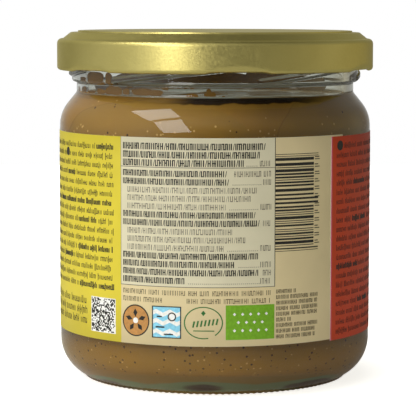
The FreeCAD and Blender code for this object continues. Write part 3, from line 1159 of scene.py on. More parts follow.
@dataclass
class ButterFill:
    """The paste: it reaches just into the glass all round, with smears left in the neck."""

    jar: GlassJar
    reach: float = 0.1
    level: float = 76.7
    swirl: float = 0.35
    swirl_waves: int = 3
    smear_depth: float = 0.55
    dabs: tuple[Dab, ...] = (
        (-70.9, 77.25, 79.2, 3.0, 0.12), (-63.1, 77.2, 78.3, 3.3, 0.14),
        (-55.2, 77.3, 78.9, 3.0, 0.12), (-46.9, 77.15, 79.7, 5.0, 0.04),
        (-39.6, 77.6, 79.3, 1.75, 0.05), (-31.6, 77.4, 79.4, 4.8, 0.06),
        (-25.4, 77.4, 79.1, 3.4, 0.08), (-9.5, 77.0, 78.25, 2.5, 0.08),
        (-2.1, 77.3, 78.6, 2.4, 0.07), (-2.7, 78.5, 79.55, 0.95, 0.10),
        (3.3, 77.15, 77.75, 0.6, 0.08), (-20.9, 79.0, 80.2, 1.4, 0.12),
        (-12.3, 79.4, 80.0, 0.7, 0.10), (-9.6, 79.4, 80.0, 0.8, 0.10),
        (-48.3, 79.5, 80.3, 1.4, 0.08), (-37.6, 79.4, 80.3, 1.7, 0.10),
        (-58.0, 80.4, 83.3, 6.1, 0.02), (-68.7, 80.7, 81.8, 2.8, 0.05),
        (-48.9, 80.6, 83.2, 1.9, 0.05), (-79.0, 77.3, 79.0, 2.4, 0.12),
        (127.0, 76.9, 80.9, 13.4, 0.03), (151.5, 76.9, 82.6, 13.2, 0.02),
        (175.5, 76.9, 81.4, 13.6, 0.03), (-160.0, 76.9, 82.9, 13.2, 0.02),
        (-135.5, 76.9, 81.7, 13.4, 0.03), (-112.0, 77.2, 79.9, 9.0, 0.05))
    columns: int = 240
    finish: SeedButter = field(default_factory=SeedButter)

    def fill(self, paste: bpy.types.Material) -> bpy.types.Object:
        """The body of paste, with a low swirl in its top.

        The top is raised by a small sine of the angle plus a term that grows inwards, which
        winds the wave into a swirl.

        Args:
            paste: Its material.

        Returns:
            The filling.
        """
        jar = self.jar
        side_radius = jar.body_radius - jar.wall + self.reach
        throat_radius = jar.bore_radius + self.reach
        floor = jar.floor - self.reach
        side = rounded([
            (0.0, floor, 0.0), (side_radius, floor, jar.inner_heel),
            (side_radius, jar.shoulder_start, 0.0)])
        shoulder = arc((jar.body_radius - jar.shoulder_radius, jar.shoulder_start),
                       jar.shoulder_radius - jar.wall + self.reach, 0.0, jar.shoulder_angle, 8)
        throat = np.array([[throat_radius, jar.bore_foot + 0.05], [throat_radius, self.level]])
        top = np.stack([np.linspace(jar.bore_radius - 0.4, 0.0, 16), np.full(16, self.level)], 1)
        section = np.concatenate([held(divided(side, 8.0)[:-1]), shoulder, throat, top])
        azimuths = np.linspace(0.0, 2.0 * math.pi, self.columns, endpoint=False)
        radii = np.repeat(section[:, :1], self.columns, axis=1)
        heights = np.repeat(section[:, 1:], self.columns, axis=1)
        on_top = (section[:, 1] >= self.level) & (section[:, 0] < jar.bore_radius)
        share = section[:, :1] / jar.bore_radius
        wave = np.sin(self.swirl_waves * azimuths[None] + 7.0 * share)
        swirl = self.swirl * wave * share * (1.0 - share) * 4.0
        heights = heights + on_top[:, None] * (swirl - self.swirl)
        piece = turned_piece("butter_fill", "butter", radii, heights, [paste])
        return piece.build()

    def smear(self, name: str, middle: float, low: float, high: float, half: float,
              wobble: float, paste: bpy.types.Material) -> bpy.types.Object:
        """A rounded dab of paste on the inside of the neck.

        Its outline is a squarish oval whose size swings with three and five waves round it. Its
        points lie at (share of the way out, turn), and it is thickest in its middle. Each dab is
        kept as its middle, low and high edge, half width and wobble.

        Args:
            name: The piece's name.
            middle: Angle of its middle from the front, in degrees, to the right.
            low, high: Heights of its lower and upper edge, in mm.
            half: Half its width, in degrees.
            wobble: Share by which its outline swings.
            paste: Its material.

        Returns:
            The dab.
        """
        turns = np.linspace(0.0, 2.0 * math.pi, 40, endpoint=False)
        shares = np.array([1.0, 0.97, 0.8, 0.5])
        swing = 1.0 + wobble * np.sin(3.0 * turns + middle) + 0.5 * wobble * np.sin(5.0 * turns)
        square = (np.abs(np.cos(turns)) ** 3 + np.abs(np.sin(turns)) ** 3) ** (-1.0 / 3.0)
        out = shares[:, None] * (swing * square)[None]
        angle = np.radians(middle - 90.0 + half * out * np.cos(turns)[None])
        height = (low + high) / 2.0 + (high - low) / 2.0 * out * np.sin(turns)[None]
        height = np.clip(height, low, high)
        thick = self.smear_depth * np.sqrt(1.0 - shares ** 2)[:, None]
        back = self.jar.bore_radius + self.reach
        near = back - 0.05 - thick
        front = np.stack([near * np.cos(angle), near * np.sin(angle), height], axis=-1)
        behind = np.stack([back * np.cos(angle), back * np.sin(angle), height], axis=-1)
        loops = np.concatenate([behind[::-1], front])
        rows, columns = loops.shape[:2]
        middle_angle = math.radians(middle - 90.0)
        centre = np.array([[math.cos(middle_angle), math.sin(middle_angle), 0.0]])
        ends = np.concatenate([centre * back, centre * (back - self.smear_depth - 0.1)])
        ends[:, 2] = (low + high) / 2.0
        points = np.concatenate([loops.reshape(-1, 3), ends]) * MM
        faces = (np.flip(turned_faces(rows, columns), axis=1).tolist()
                 + np.flip(cap_faces(rows, columns), axis=1).tolist())
        return Piece(name, "butter", points, faces, [paste]).build()

    def build(self) -> list[bpy.types.Object]:
        """Make the filling and the dabs in the neck.

        Returns:
            The pieces.
        """
        paste = self.finish.material()
        body = self.fill(paste)
        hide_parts("sunflower_butter")
        pieces = [body]
        for number, dab in enumerate(self.dabs):
            pieces.append(self.smear(f"neck_smear_{number:02d}", *dab, paste))
        return pieces


# ---------------------------------------------------------------- label

class Ground(Enum):
    """Printed fields of the label's paper."""

    YELLOW = 0
    WHITE = 1
    CREAM = 2
    ORANGE = 3
    EDGE = 4
    BACK = 5


class Ink(Enum):
    """Inks of the label's print."""

    BLACK = tone(38, 37, 33)
    GREY = tone(118, 112, 98)
    BROWN = tone(104, 92, 66)
    OLIVE = tone(86, 78, 30)
    UMBER = tone(98, 36, 18)
    WHITE = tone(238, 238, 232)
    TAN = tone(184, 133, 72)
    SKY = tone(135, 205, 232)
    GREEN = tone(112, 165, 30)
    PINE = tone(48, 110, 50)


@dataclass
class LabelSheet:
    """Paper wrapped once round the wall, clockwise from its inner end, whose outer end lies over
    the inner end. A place on it is an arc length from the middle of the front, to the right, and
    a height, both in mm. Its two ends are angles in degrees."""

    jar: GlassJar
    paper: float = 0.12
    bottom: float = 13.75
    top: float = 67.3
    drop: float = 0.4
    inner_end: float = 51.9
    outer_end: float = -314.75
    edge_width: float = 0.45
    yellow_edge: float = -25.9
    box_right: float = 15.6
    box_foot: float = 29.0
    middle_row: float = 48.0
    columns: int = 367
    climb: Span = (6.0, 5.0)
    clearance: float = 0.01
    grounds: dict[Ground, PrintedPaper] = field(default_factory=lambda: {
        Ground.YELLOW: PrintedPaper("yellow", (0.76, 0.63, 0.042)),
        Ground.WHITE: PrintedPaper("white", (0.75, 0.70, 0.50)),
        Ground.CREAM: PrintedPaper("cream", (0.79, 0.66, 0.38)),
        Ground.ORANGE: PrintedPaper("orange", (0.63, 0.058, 0.009)),
        Ground.EDGE: PrintedPaper("edge", (0.66, 0.11, 0.17)),
        Ground.BACK: PrintedPaper("back", (0.80, 0.80, 0.77))})

    @property
    def face(self) -> float:
        """Radius of the printed face where the paper lies on the glass."""
        return self.jar.body_radius + self.paper

    def rise(self, arc_length: np.ndarray) -> np.ndarray:
        """How far the outer end climbs over the inner end: an ease over the last degrees before
        the lap, up to one thickness of paper.

        Args:
            arc_length: Places along the sheet.

        Returns:
            The rise at each, in mm.
        """
        degrees = np.degrees(arc_length / self.face)
        lap = self.inner_end - 360.0
        before, stretch = self.climb
        return (self.paper + self.clearance) * smooth_step((lap + before - degrees) / stretch)

    def place(self, arc_length: np.ndarray, height: np.ndarray, lift: float) -> np.ndarray:
        """Points at a lift over the printed face.

        The angle is the arc length over the face's radius. The paper sinks evenly with the angle,
        by its drop over one turn, so its outer end hangs lower.

        Args:
            arc_length, height: Places on the sheet.
            lift: Distance above the face, in mm.

        Returns:
            Points in mm, with the last axis for x, y and z.
        """
        angle = arc_length / self.face
        distance = self.face + self.rise(arc_length) + lift
        sink = self.drop * (angle - math.radians(self.inner_end)) / (2.0 * math.pi)
        return np.stack([distance * np.sin(angle), -distance * np.cos(angle), height + sink],
                        axis=-1)

    def build(self) -> bpy.types.Object:
        """Make the sheet: a grid along the turn and up the height, a face and a back, closed
        round its four edges, with each cell in the finish of its printed field.

        Returns:
            The label.
        """
        start, end = (math.radians(a) * self.face for a in (self.outer_end, self.inner_end))
        seam = start + self.edge_width
        turn_back = -math.pi * self.face
        along = np.unique(np.concatenate([
            np.linspace(start, end, self.columns),
            [seam, turn_back, self.yellow_edge, self.box_right]]).round(4))
        up = np.array([self.bottom, self.box_foot, self.middle_row, self.top])
        across, height = np.meshgrid(along, up, indexing="ij")
        front = self.place(across, height, 0.0)
        back = self.place(across, height, -self.paper)
        columns, rows = across.shape
        number = np.arange(columns * rows).reshape(columns, rows)
        cells = np.stack([number[:-1, :-1], number[1:, :-1], number[1:, 1:], number[:-1, 1:]],
                         axis=-1).reshape(-1, 4)
        other = columns * rows
        rim = np.concatenate([number[:-1, 0], number[-1, :-1], number[:0:-1, -1], number[0, :0:-1]])
        after = np.roll(rim, -1)
        sides = np.stack([rim, rim + other, after + other, after], axis=1)
        middle_across = (across[:-1, :-1] + across[1:, 1:]).ravel() / 2.0
        middle_up = (height[:-1, :-1] + height[1:, 1:]).ravel() / 2.0
        ground = np.full(len(cells), Ground.CREAM.value)
        ground[middle_across < self.yellow_edge] = Ground.YELLOW.value
        ground[middle_across < turn_back] = Ground.ORANGE.value
        ground[middle_across < seam] = Ground.EDGE.value
        in_box = ((middle_across > self.yellow_edge) & (middle_across < self.box_right)
                  & (middle_up > self.box_foot))
        ground[in_box] = Ground.WHITE.value
        faces = np.concatenate([cells, cells[:, ::-1] + other, sides])
        finish = np.concatenate([ground, np.full(len(cells) + len(sides), Ground.BACK.value)])
        points = np.concatenate([front.reshape(-1, 3), back.reshape(-1, 3)]) * MM
        uv = np.tile(np.stack([across.ravel(), height.ravel()], axis=1) / 100.0, (2, 1))
        papers = [self.grounds[kind].material() for kind in Ground]
        sheet = Piece("wrap_label", "label_paper", points, faces.tolist(), papers, finish,
                      True, uv).build()
        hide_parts("label")
        return sheet


@dataclass(frozen=True)
class TypeStyle:
    """How a line of stand-in type looks: its strokes' height and weight, the spaces between
    strokes and between words, in mm, and whether it has small letters or slashes."""

    cap: float
    weight: float
    space: float
    word: float
    mixed: bool = False
    slashes: bool = False


HEADLINE = TypeStyle(1.66, 0.25, 0.24, 0.62, slashes=True)
ROW = TypeStyle(1.54, 0.24, 0.23, 0.60, slashes=True)
SUBROW = TypeStyle(1.46, 0.15, 0.32, 0.60, slashes=True)
FIGURES = TypeStyle(1.45, 0.15, 0.28, 0.50)
ADDRESS = TypeStyle(1.25, 0.15, 0.28, 0.62)
SMALL = TypeStyle(1.02, 0.19, 0.19, 0.40)
PROSE = TypeStyle(1.50, 0.185, 0.25, 0.62, mixed=True)
PROSE_BOLD = TypeStyle(1.55, 0.30, 0.18, 0.55, mixed=True)
LARGE = TypeStyle(2.00, 0.20, 0.34, 0.80, mixed=True)


@dataclass
class LabelPrint:
    """The label's print as thin slabs of ink on the paper: rows of strokes where there is type,
    dotted leaders, frames, bars and simple emblems."""

    sheet: LabelSheet
    lift: float = 0.022
    sink: float = 0.03
    seed: int = 5
    over: dict[Ink, float] = field(default_factory=lambda: {Ink.WHITE: 0.012, Ink.BLACK: 0.014})
    cells_over: float = 0.012
    table_sides: Span = (-25.2, 14.6)
    table_rows: tuple[tuple[float, bool, float, float], ...] = (
        (3.0, True, 0.0, 4.8), (3.7, True, 4.4, 12.4), (11.0, False, 0.0, 0.0),
        (9.2, False, 0.0, 0.0), (3.0, False, 3.6, 11.7), (10.5, True, 0.0, 0.0),
        (11.6, True, 0.0, 12.4), (4.5, False, 0.0, 0.0), (7.7, False, 0.0, 0.0),
        (2.5, False, 3.1, 11.7), (11.1, True, 0.0, 0.0), (5.2, True, 6.0, 11.7),
        (11.6, True, 0.0, 12.4), (-7.4, True, -6.9, 11.7))
    row_foot: float = 57.38
    row_pitch: float = 2.118
    stripes: Span = (37.9, 63.1)
    small_foot: float = 27.15
    small_pitch: float = 1.464
    small_ends: tuple[float, ...] = (22.1, 29.0, 28.8, 28.9, 28.6, 20.6, 28.9, 27.9, 28.0)
    prose_width: float = 45.0
    prose_columns: float = 50.0
    prose_pitch: float = 2.44
    yellow_right: float = -28.2
    yellow_foot: float = 63.75
    orange_left: float = 35.7
    orange_foot: float = 64.1
    slabs: dict[Ink, list[np.ndarray]] = field(default_factory=dict)
    cells: list[np.ndarray] = field(default_factory=list)

    def __post_init__(self) -> None:
        """Start the source of the strokes' small differences."""
        self.chance = np.random.default_rng(self.seed)

    # ---- marks

    def add(self, ink: Ink, quads: np.ndarray) -> None:
        """Keep four-cornered marks of one ink: (arc length, height) of each corner, anticlockwise."""
        self.slabs.setdefault(ink, []).append(np.asarray(quads, float).reshape(-1, 4, 2))

    @staticmethod
    def boxes(left: np.ndarray, right: np.ndarray, low: np.ndarray, high: np.ndarray,
              lean: float = 0.0) -> np.ndarray:
        """Upright or leaning boxes.

        Args:
            left, right, low, high: Their edges, in mm.
            lean: How far the top is moved to the right.

        Returns:
            Corners, four to a box.
        """
        left, right, low, high = np.broadcast_arrays(left, right, low, high)
        return np.stack([np.stack([left, low], -1), np.stack([right, low], -1),
                         np.stack([right + lean, high], -1), np.stack([left + lean, high], -1)], -2)

    def bar(self, ink: Ink, left: float, right: float, low: float, high: float) -> None:
        """A straight bar, cut into short runs so that it follows the wall."""
        edges = np.linspace(left, right, max(1, math.ceil((right - left) / 1.1)) + 1)
        self.add(ink, self.boxes(edges[:-1], edges[1:], low, high))

    def ring(self, ink: Ink, middle: Place, size: Place, share: float, start: float = 0.0,
             end: float = 360.0) -> None:
        """Part or whole of a flat elliptical ring.

        Its points lie at the middle plus the half sizes times the cosine and sine of the turn,
        once in full and once at the inner share.

        Args:
            ink: Its ink.
            middle: Arc length and height of its middle.
            size: Half its width and half its height.
            share: Inner size as a share of the outer, 0 for a disc.
            start, end: The turn it covers, in degrees.
        """
        turns = np.radians(np.linspace(start, end, max(8, int((end - start) / 10.0)) + 1))
        round_it = np.stack([np.cos(turns) * size[0], np.sin(turns) * size[1]], axis=1)
        outer = np.array(middle) + round_it
        inner = np.array(middle) + round_it * share
        if share:
            self.add(ink, np.stack([outer[:-1], outer[1:], inner[1:], inner[:-1]], axis=1))
            return
        shares = np.linspace(1.0, 0.0, 4)
        for big, small in zip(shares[:-1], shares[1:]):
            near = np.array(middle) + round_it * big
            far = np.array(middle) + round_it * max(small, 0.01)
            self.add(ink, np.stack([near[:-1], near[1:], far[1:], far[:-1]], axis=1))

    def strokes(self, ink: Ink, style: TypeStyle, left: float, right: float, foot: float) -> None:
        """A run of stand-in type: upright strokes of slightly different width, in words.

        Strokes and gaps are drawn at random about the style's own, summed along the line, and
        cut off at its end. Mixed type has low strokes with some tall and some hanging ones.

        Args:
            ink: Its ink.
            style: How it looks.
            left, right: Where the line starts and ends.
            foot: Height of its foot.
        """
        count = int((right - left) / (style.weight + style.space) * 1.3) + 3
        widths = style.weight * self.chance.uniform(0.75, 1.25, count)
        gaps = style.space * self.chance.uniform(0.7, 1.3, count)
        lengths = self.chance.integers(6, 17, count)
        breaks = np.cumsum(lengths)
        breaks = breaks[breaks < count]
        gaps[breaks] += style.word
        starts = left + np.concatenate([[0.0], np.cumsum(widths + gaps)[:-1]])
        shown = starts + widths <= right
        low = np.full(count, foot)
        high = np.full(count, foot + style.cap)
        if style.mixed:
            kind = self.chance.random(count)
            high = np.where(kind < 0.72, foot + style.cap * 0.70, high)
            low = np.where(kind > 0.93, foot - style.cap * 0.24, low)
        self.add(ink, self.boxes(starts, starts + widths, low, high)[shown])
        joined = shown & (self.chance.random(count) < 0.55)
        joined[breaks] = False
        top = np.minimum(high, np.roll(high, -1)) - foot
        level = foot + top * self.chance.choice([0.0, 0.42, 0.84], count)
        bridge = self.boxes(starts + widths, starts + widths + gaps, level,
                            level + 0.16 * style.cap)
        self.add(ink, bridge[joined & np.roll(shown, -1)])
        if style.slashes:
            marks = starts[breaks] + widths[breaks] + style.space + 0.05
            marks = marks[marks + 0.4 < right]
            self.add(ink, self.boxes(marks, marks + style.weight * 0.6, foot,
                                     foot + style.cap, 0.32))

    def dots(self, ink: Ink, left: float, right: float, foot: float) -> None:
        """A dotted leader."""
        starts = np.arange(left, right, 0.52)
        self.add(ink, self.boxes(starts, starts + 0.2, foot, foot + 0.2))

    # ---- what is printed

    def table(self) -> None:
        """The white table: three bold head lines over a rule, then rows of bold and light type
        with dotted leaders and figures at the right. Each row is kept as where its words end,
        whether they are bold, and where its leader and its figures start, or 0 for none."""
        left, right = self.table_sides
        for foot, end in ((64.25, 13.1), (62.08, 11.5), (60.0, 7.6)):
            self.strokes(Ink.BLACK, HEADLINE, left, end, foot)
        self.dots(Ink.GREY, 8.0, 11.0, 60.02)
        self.strokes(Ink.GREY, FIGURES, 11.5, right, 60.02)
        for number, (end, bold, leader, figures) in enumerate(self.table_rows):
            foot = self.row_foot - self.row_pitch * number
            style = ROW if bold else SUBROW
            self.strokes(Ink.BLACK if bold else Ink.GREY, style, left if bold else left + 1.4,
                         end, foot)
            if leader:
                self.dots(Ink.GREY, leader, figures - 0.3, foot)
            if figures:
                self.strokes(Ink.GREY, FIGURES, figures, right, foot)

    def frames(self) -> None:
        """Thin rules: under the head lines, round the table's foot and at its two sides."""
        sheet = self.sheet
        left, right, foot = sheet.yellow_edge, sheet.box_right, sheet.box_foot
        self.bar(Ink.GREY, left, right, 59.62, 59.78)
        self.bar(Ink.GREY, left, right + 0.12, foot - 0.06, foot + 0.12)
        self.bar(Ink.BLACK, right, right + 0.15, foot, sheet.top - 0.02)
        self.bar(Ink.GREY, left - 0.05, left + 0.05, foot, sheet.top - 0.02)

    def address(self) -> None:
        """Two light lines under the table, the second with a wide gap."""
        left, right = self.table_sides
        self.strokes(Ink.BROWN, ADDRESS, left, right, 26.85)
        self.strokes(Ink.BROWN, ADDRESS, left, -13.9, 24.85)
        self.strokes(Ink.BROWN, ADDRESS, -7.3, right, 24.85)

    def emblems(self) -> None:
        """Four plain emblems in a row."""
        self.disc_emblem((-21.4, 19.85))
        self.wave_emblem(-16.55, -8.85, 15.85, 23.85)
        self.ring_emblem((-3.0, 19.9))
        self.lattice_emblem(2.75, 15.6, 15.5, 24.45)

    def disc_emblem(self, disc: Place) -> None:
        """A tan disc in a dark ring, with five dark lozenges round a white spot.

        Args:
            disc: Arc length and height of its middle.
        """
        self.ring(Ink.TAN, disc, (3.75, 3.9), 0.0)
        self.ring(Ink.BLACK, disc, (4.0, 4.15), 0.92)
        middle = np.array(disc)
        for turn in np.radians(np.arange(20.0, 360.0, 72.0)):
            out = np.array([math.cos(turn), math.sin(turn)])
            side = np.array([-out[1], out[0]])
            root, belly, tip = (middle + distance * out for distance in (0.9, 2.1, 3.1))
            self.add(Ink.BLACK, [[root, belly - 0.62 * side, tip, belly + 0.62 * side]])
        self.ring(Ink.WHITE, disc, (0.75, 0.75), 0.0)

    def wave_emblem(self, left: float, right: float, low: float, high: float) -> None:
        """A blue square in a dark frame, with three white waves, a small ring and three dashes.

        Args:
            left, right, low, high: Its edges.
        """
        self.bar(Ink.SKY, left, right, low, high)
        inner_left, inner_right = left + 0.15, right - 0.15
        for level in (17.2, 19.9, 22.2):
            edges = np.linspace(inner_left, inner_right, 9)
            crest = level + 0.45 * np.sin((edges - inner_left) * 1.7)
            self.add(Ink.WHITE, np.stack([
                np.stack([edges[:-1], crest[:-1] - 0.55], -1),
                np.stack([edges[1:], crest[1:] - 0.55], -1),
                np.stack([edges[1:], crest[1:] + 0.55], -1),
                np.stack([edges[:-1], crest[:-1] + 0.55], -1)], axis=1))
        self.ring(Ink.BLACK, (-11.2, 21.3), (1.15, 1.15), 0.72)
        self.ring(Ink.WHITE, (-11.2, 21.3), (0.8, 0.8), 0.0)
        self.bar(Ink.BLACK, -15.6, -13.2, 18.35, 18.75)
        self.bar(Ink.BLACK, -13.4, -10.9, 16.55, 16.9)
        self.bar(Ink.BLACK, -15.3, -13.9, 21.1, 21.45)
        self.bar(Ink.BLACK, left - 0.1, left + 0.2, low - 0.1, high + 0.1)
        self.bar(Ink.BLACK, right - 0.2, right + 0.1, low - 0.1, high + 0.1)
        self.bar(Ink.BLACK, left - 0.1, right + 0.1, low - 0.15, low + 0.1)
        self.bar(Ink.BLACK, left - 0.1, right + 0.1, high - 0.1, high + 0.15)

    def ring_emblem(self, middle: Place) -> None:
        """An open green ring round a rising row of leaning strokes, a bar and a small lozenge.

        Args:
            middle: Arc length and height of its middle.
        """
        self.ring(Ink.PINE, middle, (5.05, 4.2), 0.94, -52.0, 285.0)
        strokes = np.arange(-5.9, 0.2, 1.0)
        foot = 19.4 + 0.12 * strokes
        self.add(Ink.PINE, self.boxes(strokes, strokes + 0.45, foot, foot + 1.6, 0.35))
        self.bar(Ink.PINE, -5.6, -0.2, 17.7, 17.95)
        self.add(Ink.PINE, [[(-3.6, 22.4), (-3.0, 21.7), (-2.4, 22.4), (-3.0, 23.1)]])

    def lattice_emblem(self, left: float, right: float, low: float, high: float) -> None:
        """A green field with a lattice of white lozenges, whose middle row is set to the right.

        Args:
            left, right, low, high: Its edges.
        """
        self.bar(Ink.GREEN, left, right, low, high)
        columns, rows = np.meshgrid(np.linspace(5.0, 13.4, 5), np.array([17.9, 20.0, 22.1]))
        shift = np.array([[0.0], [1.0], [0.0]])
        across, up = (columns + shift).ravel(), rows.ravel()
        inside = across < 14.2
        across, up = across[inside], up[inside]
        half = 0.42
        self.add(Ink.WHITE, np.stack([
            np.stack([across - half, up], -1), np.stack([across, up - half], -1),
            np.stack([across + half, up], -1), np.stack([across, up + half], -1)], 1))

    def bars(self) -> None:
        """A stack of level bars of chance thickness, three sets longer, beside a column of small
        marks. They hold no number."""
        low, end = self.stripes
        module = (end - low) / 95.0
        thick = self.chance.choice([1, 1, 2, 2, 3, 3], 60)
        gap = self.chance.choice([1, 1, 1, 1, 2], 60)
        for line, space in zip(thick, gap):
            high = low + line * module
            if high > end:
                break
            longer = low < 38.9 or abs(low - 50.4) < 0.9 or low > 62.0
            right, share = (28.8, 0.7) if longer else (27.3, 1.0)
            foot = low + 0.04
            self.bar(Ink.BLACK, 15.78, right, foot, foot + (high - low - 0.06) * share)
            low = high + space * module
        for number in range(12):
            foot = 39.6 + 1.93 * number + (0.5 if number > 5 else 0.0)
            self.bar(Ink.BLACK, 27.65, 29.25, foot, foot + 0.2)
            self.bar(Ink.BLACK, 27.65, 28.75 + 0.4 * (number % 2), foot + 0.6, foot + 0.82)

    def small_print(self) -> None:
        """Nine short lines of small type at the lower right."""
        for number, end in enumerate(self.small_ends):
            foot = self.small_foot - self.small_pitch * number
            self.strokes(Ink.BROWN, SMALL, 16.1, end, foot)

    def prose(self, ink: Ink, start: float, end: float, foot: float,
              bold: Optional[Span] = None) -> None:
        """A line of small type, with a bold stretch or none.

        Args:
            ink: Ink of the light type.
            start, end: Where the line starts and ends.
            foot: Height of its foot.
            bold: Where the bold stretch starts and ends.
        """
        if bold is None:
            self.strokes(ink, PROSE, start, end, foot)
            return
        first, last = bold
        if first - start > 2.0:
            self.strokes(ink, PROSE, start, first - 0.6, foot)
        self.strokes(Ink.BLACK, PROSE_BOLD, first, last, foot)
        if end - last > 1.0:
            self.strokes(ink, PROSE, last + 0.6, end, foot)

    def yellow_panel(self) -> None:
        """Two columns of sixteen right-aligned lines of small type, with some bold words in the
        first, three larger lines and a square of chance cells."""
        right = self.yellow_right
        bold = {0: (-34.6, right), 3: (-49.5, -44.6), 6: (-56.0, right), 8: (-43.0, -34.5),
                11: (-43.2, right), 12: (-52.5, -45.0), 15: (-42.5, right)}
        for column, number in ((c, n) for c in range(2) for n in range(16)):
            foot = self.yellow_foot - self.prose_pitch * number
            end = right - self.prose_columns * column - self.chance.uniform(0.0, 0.5)
            start = end - self.prose_width + self.chance.uniform(0.0, 1.0)
            self.prose(Ink.OLIVE, start, end, foot, bold.get(number) if column == 0 else None)
        self.ring(Ink.BLACK, (-49.6, 62.3), (1.15, 1.15), 0.0)
        for number in range(3):
            self.strokes(Ink.OLIVE, LARGE, -64.0 + 0.6 * number, -38.7, 22.6 - 2.62 * number)
        self.bar(Ink.WHITE, -36.95, -27.75, 15.7, 24.9)
        cells = 26
        filled = self.chance.random((cells, cells)) < 0.5
        column, row = np.nonzero(filled)
        size = 8.8 / cells
        left = -36.75 + column * size
        low = 15.9 + row * size
        self.cells.append(self.boxes(left, left + size, low, low + size))

    def orange_panel(self) -> None:
        """Twenty-one left-aligned lines of small type beside the seam, with some bold words, and
        a second column behind."""
        lap = 2.0 * math.pi * self.sheet.face
        bold = {4: (44.0, 52.0), 8: (43.5, 54.0), 13: (35.7, 47.0), 17: (47.0, 56.0)}
        for column, number in ((c, n) for c in range(2) for n in range(21)):
            foot = self.orange_foot - self.prose_pitch * number
            start = self.orange_left + self.prose_columns * column - lap
            end = start + self.prose_width - self.chance.uniform(0.0, 1.2)
            if column == 0 and number == 0:
                start += 3.2
            stretch = None
            if column == 0 and number in bold:
                stretch = tuple(edge - lap for edge in bold[number])
            self.prose(Ink.UMBER, start, end, foot, stretch)
        self.ring(Ink.BLACK, (37.1 - lap, 64.85), (1.25, 1.3), 0.0)

    # ---- pieces

    def slab_piece(self, name: str, marks: list[np.ndarray], lift: float,
                   ink: bpy.types.Material) -> Piece:
        """Closed six-sided slabs, each from below the paper's face to a lift above it.

        Args:
            name: The piece's name.
            marks: Corners of its marks, four to a mark, in batches.
            lift: Height of the ink over the paper, in mm.
            ink: Its material.

        Returns:
            The piece.
        """
        quads = np.concatenate(marks)
        low = self.sheet.place(quads[..., 0], quads[..., 1], -self.sink)
        high = self.sheet.place(quads[..., 0], quads[..., 1], lift)
        points = np.concatenate([low, high], axis=1).reshape(-1, 3) * MM
        sides = np.array([[0, 3, 2, 1], [4, 5, 6, 7], [0, 1, 5, 4], [1, 2, 6, 5],
                          [2, 3, 7, 6], [3, 0, 4, 7]])
        faces = (sides[None] + 8 * np.arange(len(quads))[:, None, None]).reshape(-1, 4)
        return Piece(name, "label_paper", points, faces.tolist(), [ink], None, False)

    def build(self) -> list[bpy.types.Object]:
        """Print everything and make one piece of each ink.

        Returns:
            The pieces.
        """
        for part in (self.table, self.frames, self.address, self.emblems, self.bars,
                     self.small_print, self.yellow_panel, self.orange_panel):
            part()
        pieces = []
        for ink, marks in self.slabs.items():
            finish = PrintersInk(ink.name.lower(), ink.value).material()
            lift = self.lift + self.over.get(ink, 0.0)
            if ink is Ink.BLACK:
                cells = self.slab_piece("print_cells", self.cells, lift + self.cells_over, finish)
                pieces.append(cells.build())
            pieces.append(self.slab_piece(f"print_{ink.name.lower()}", marks, lift,
                                          finish).build())
        return pieces


# ---------------------------------------------------------------- studio

@dataclass(frozen=True)
class Pane:
    """One pane of the window lamp: its middle, half its width and half its height as vectors, in
    metres."""

    middle: Point
    across: Point
    up: Point


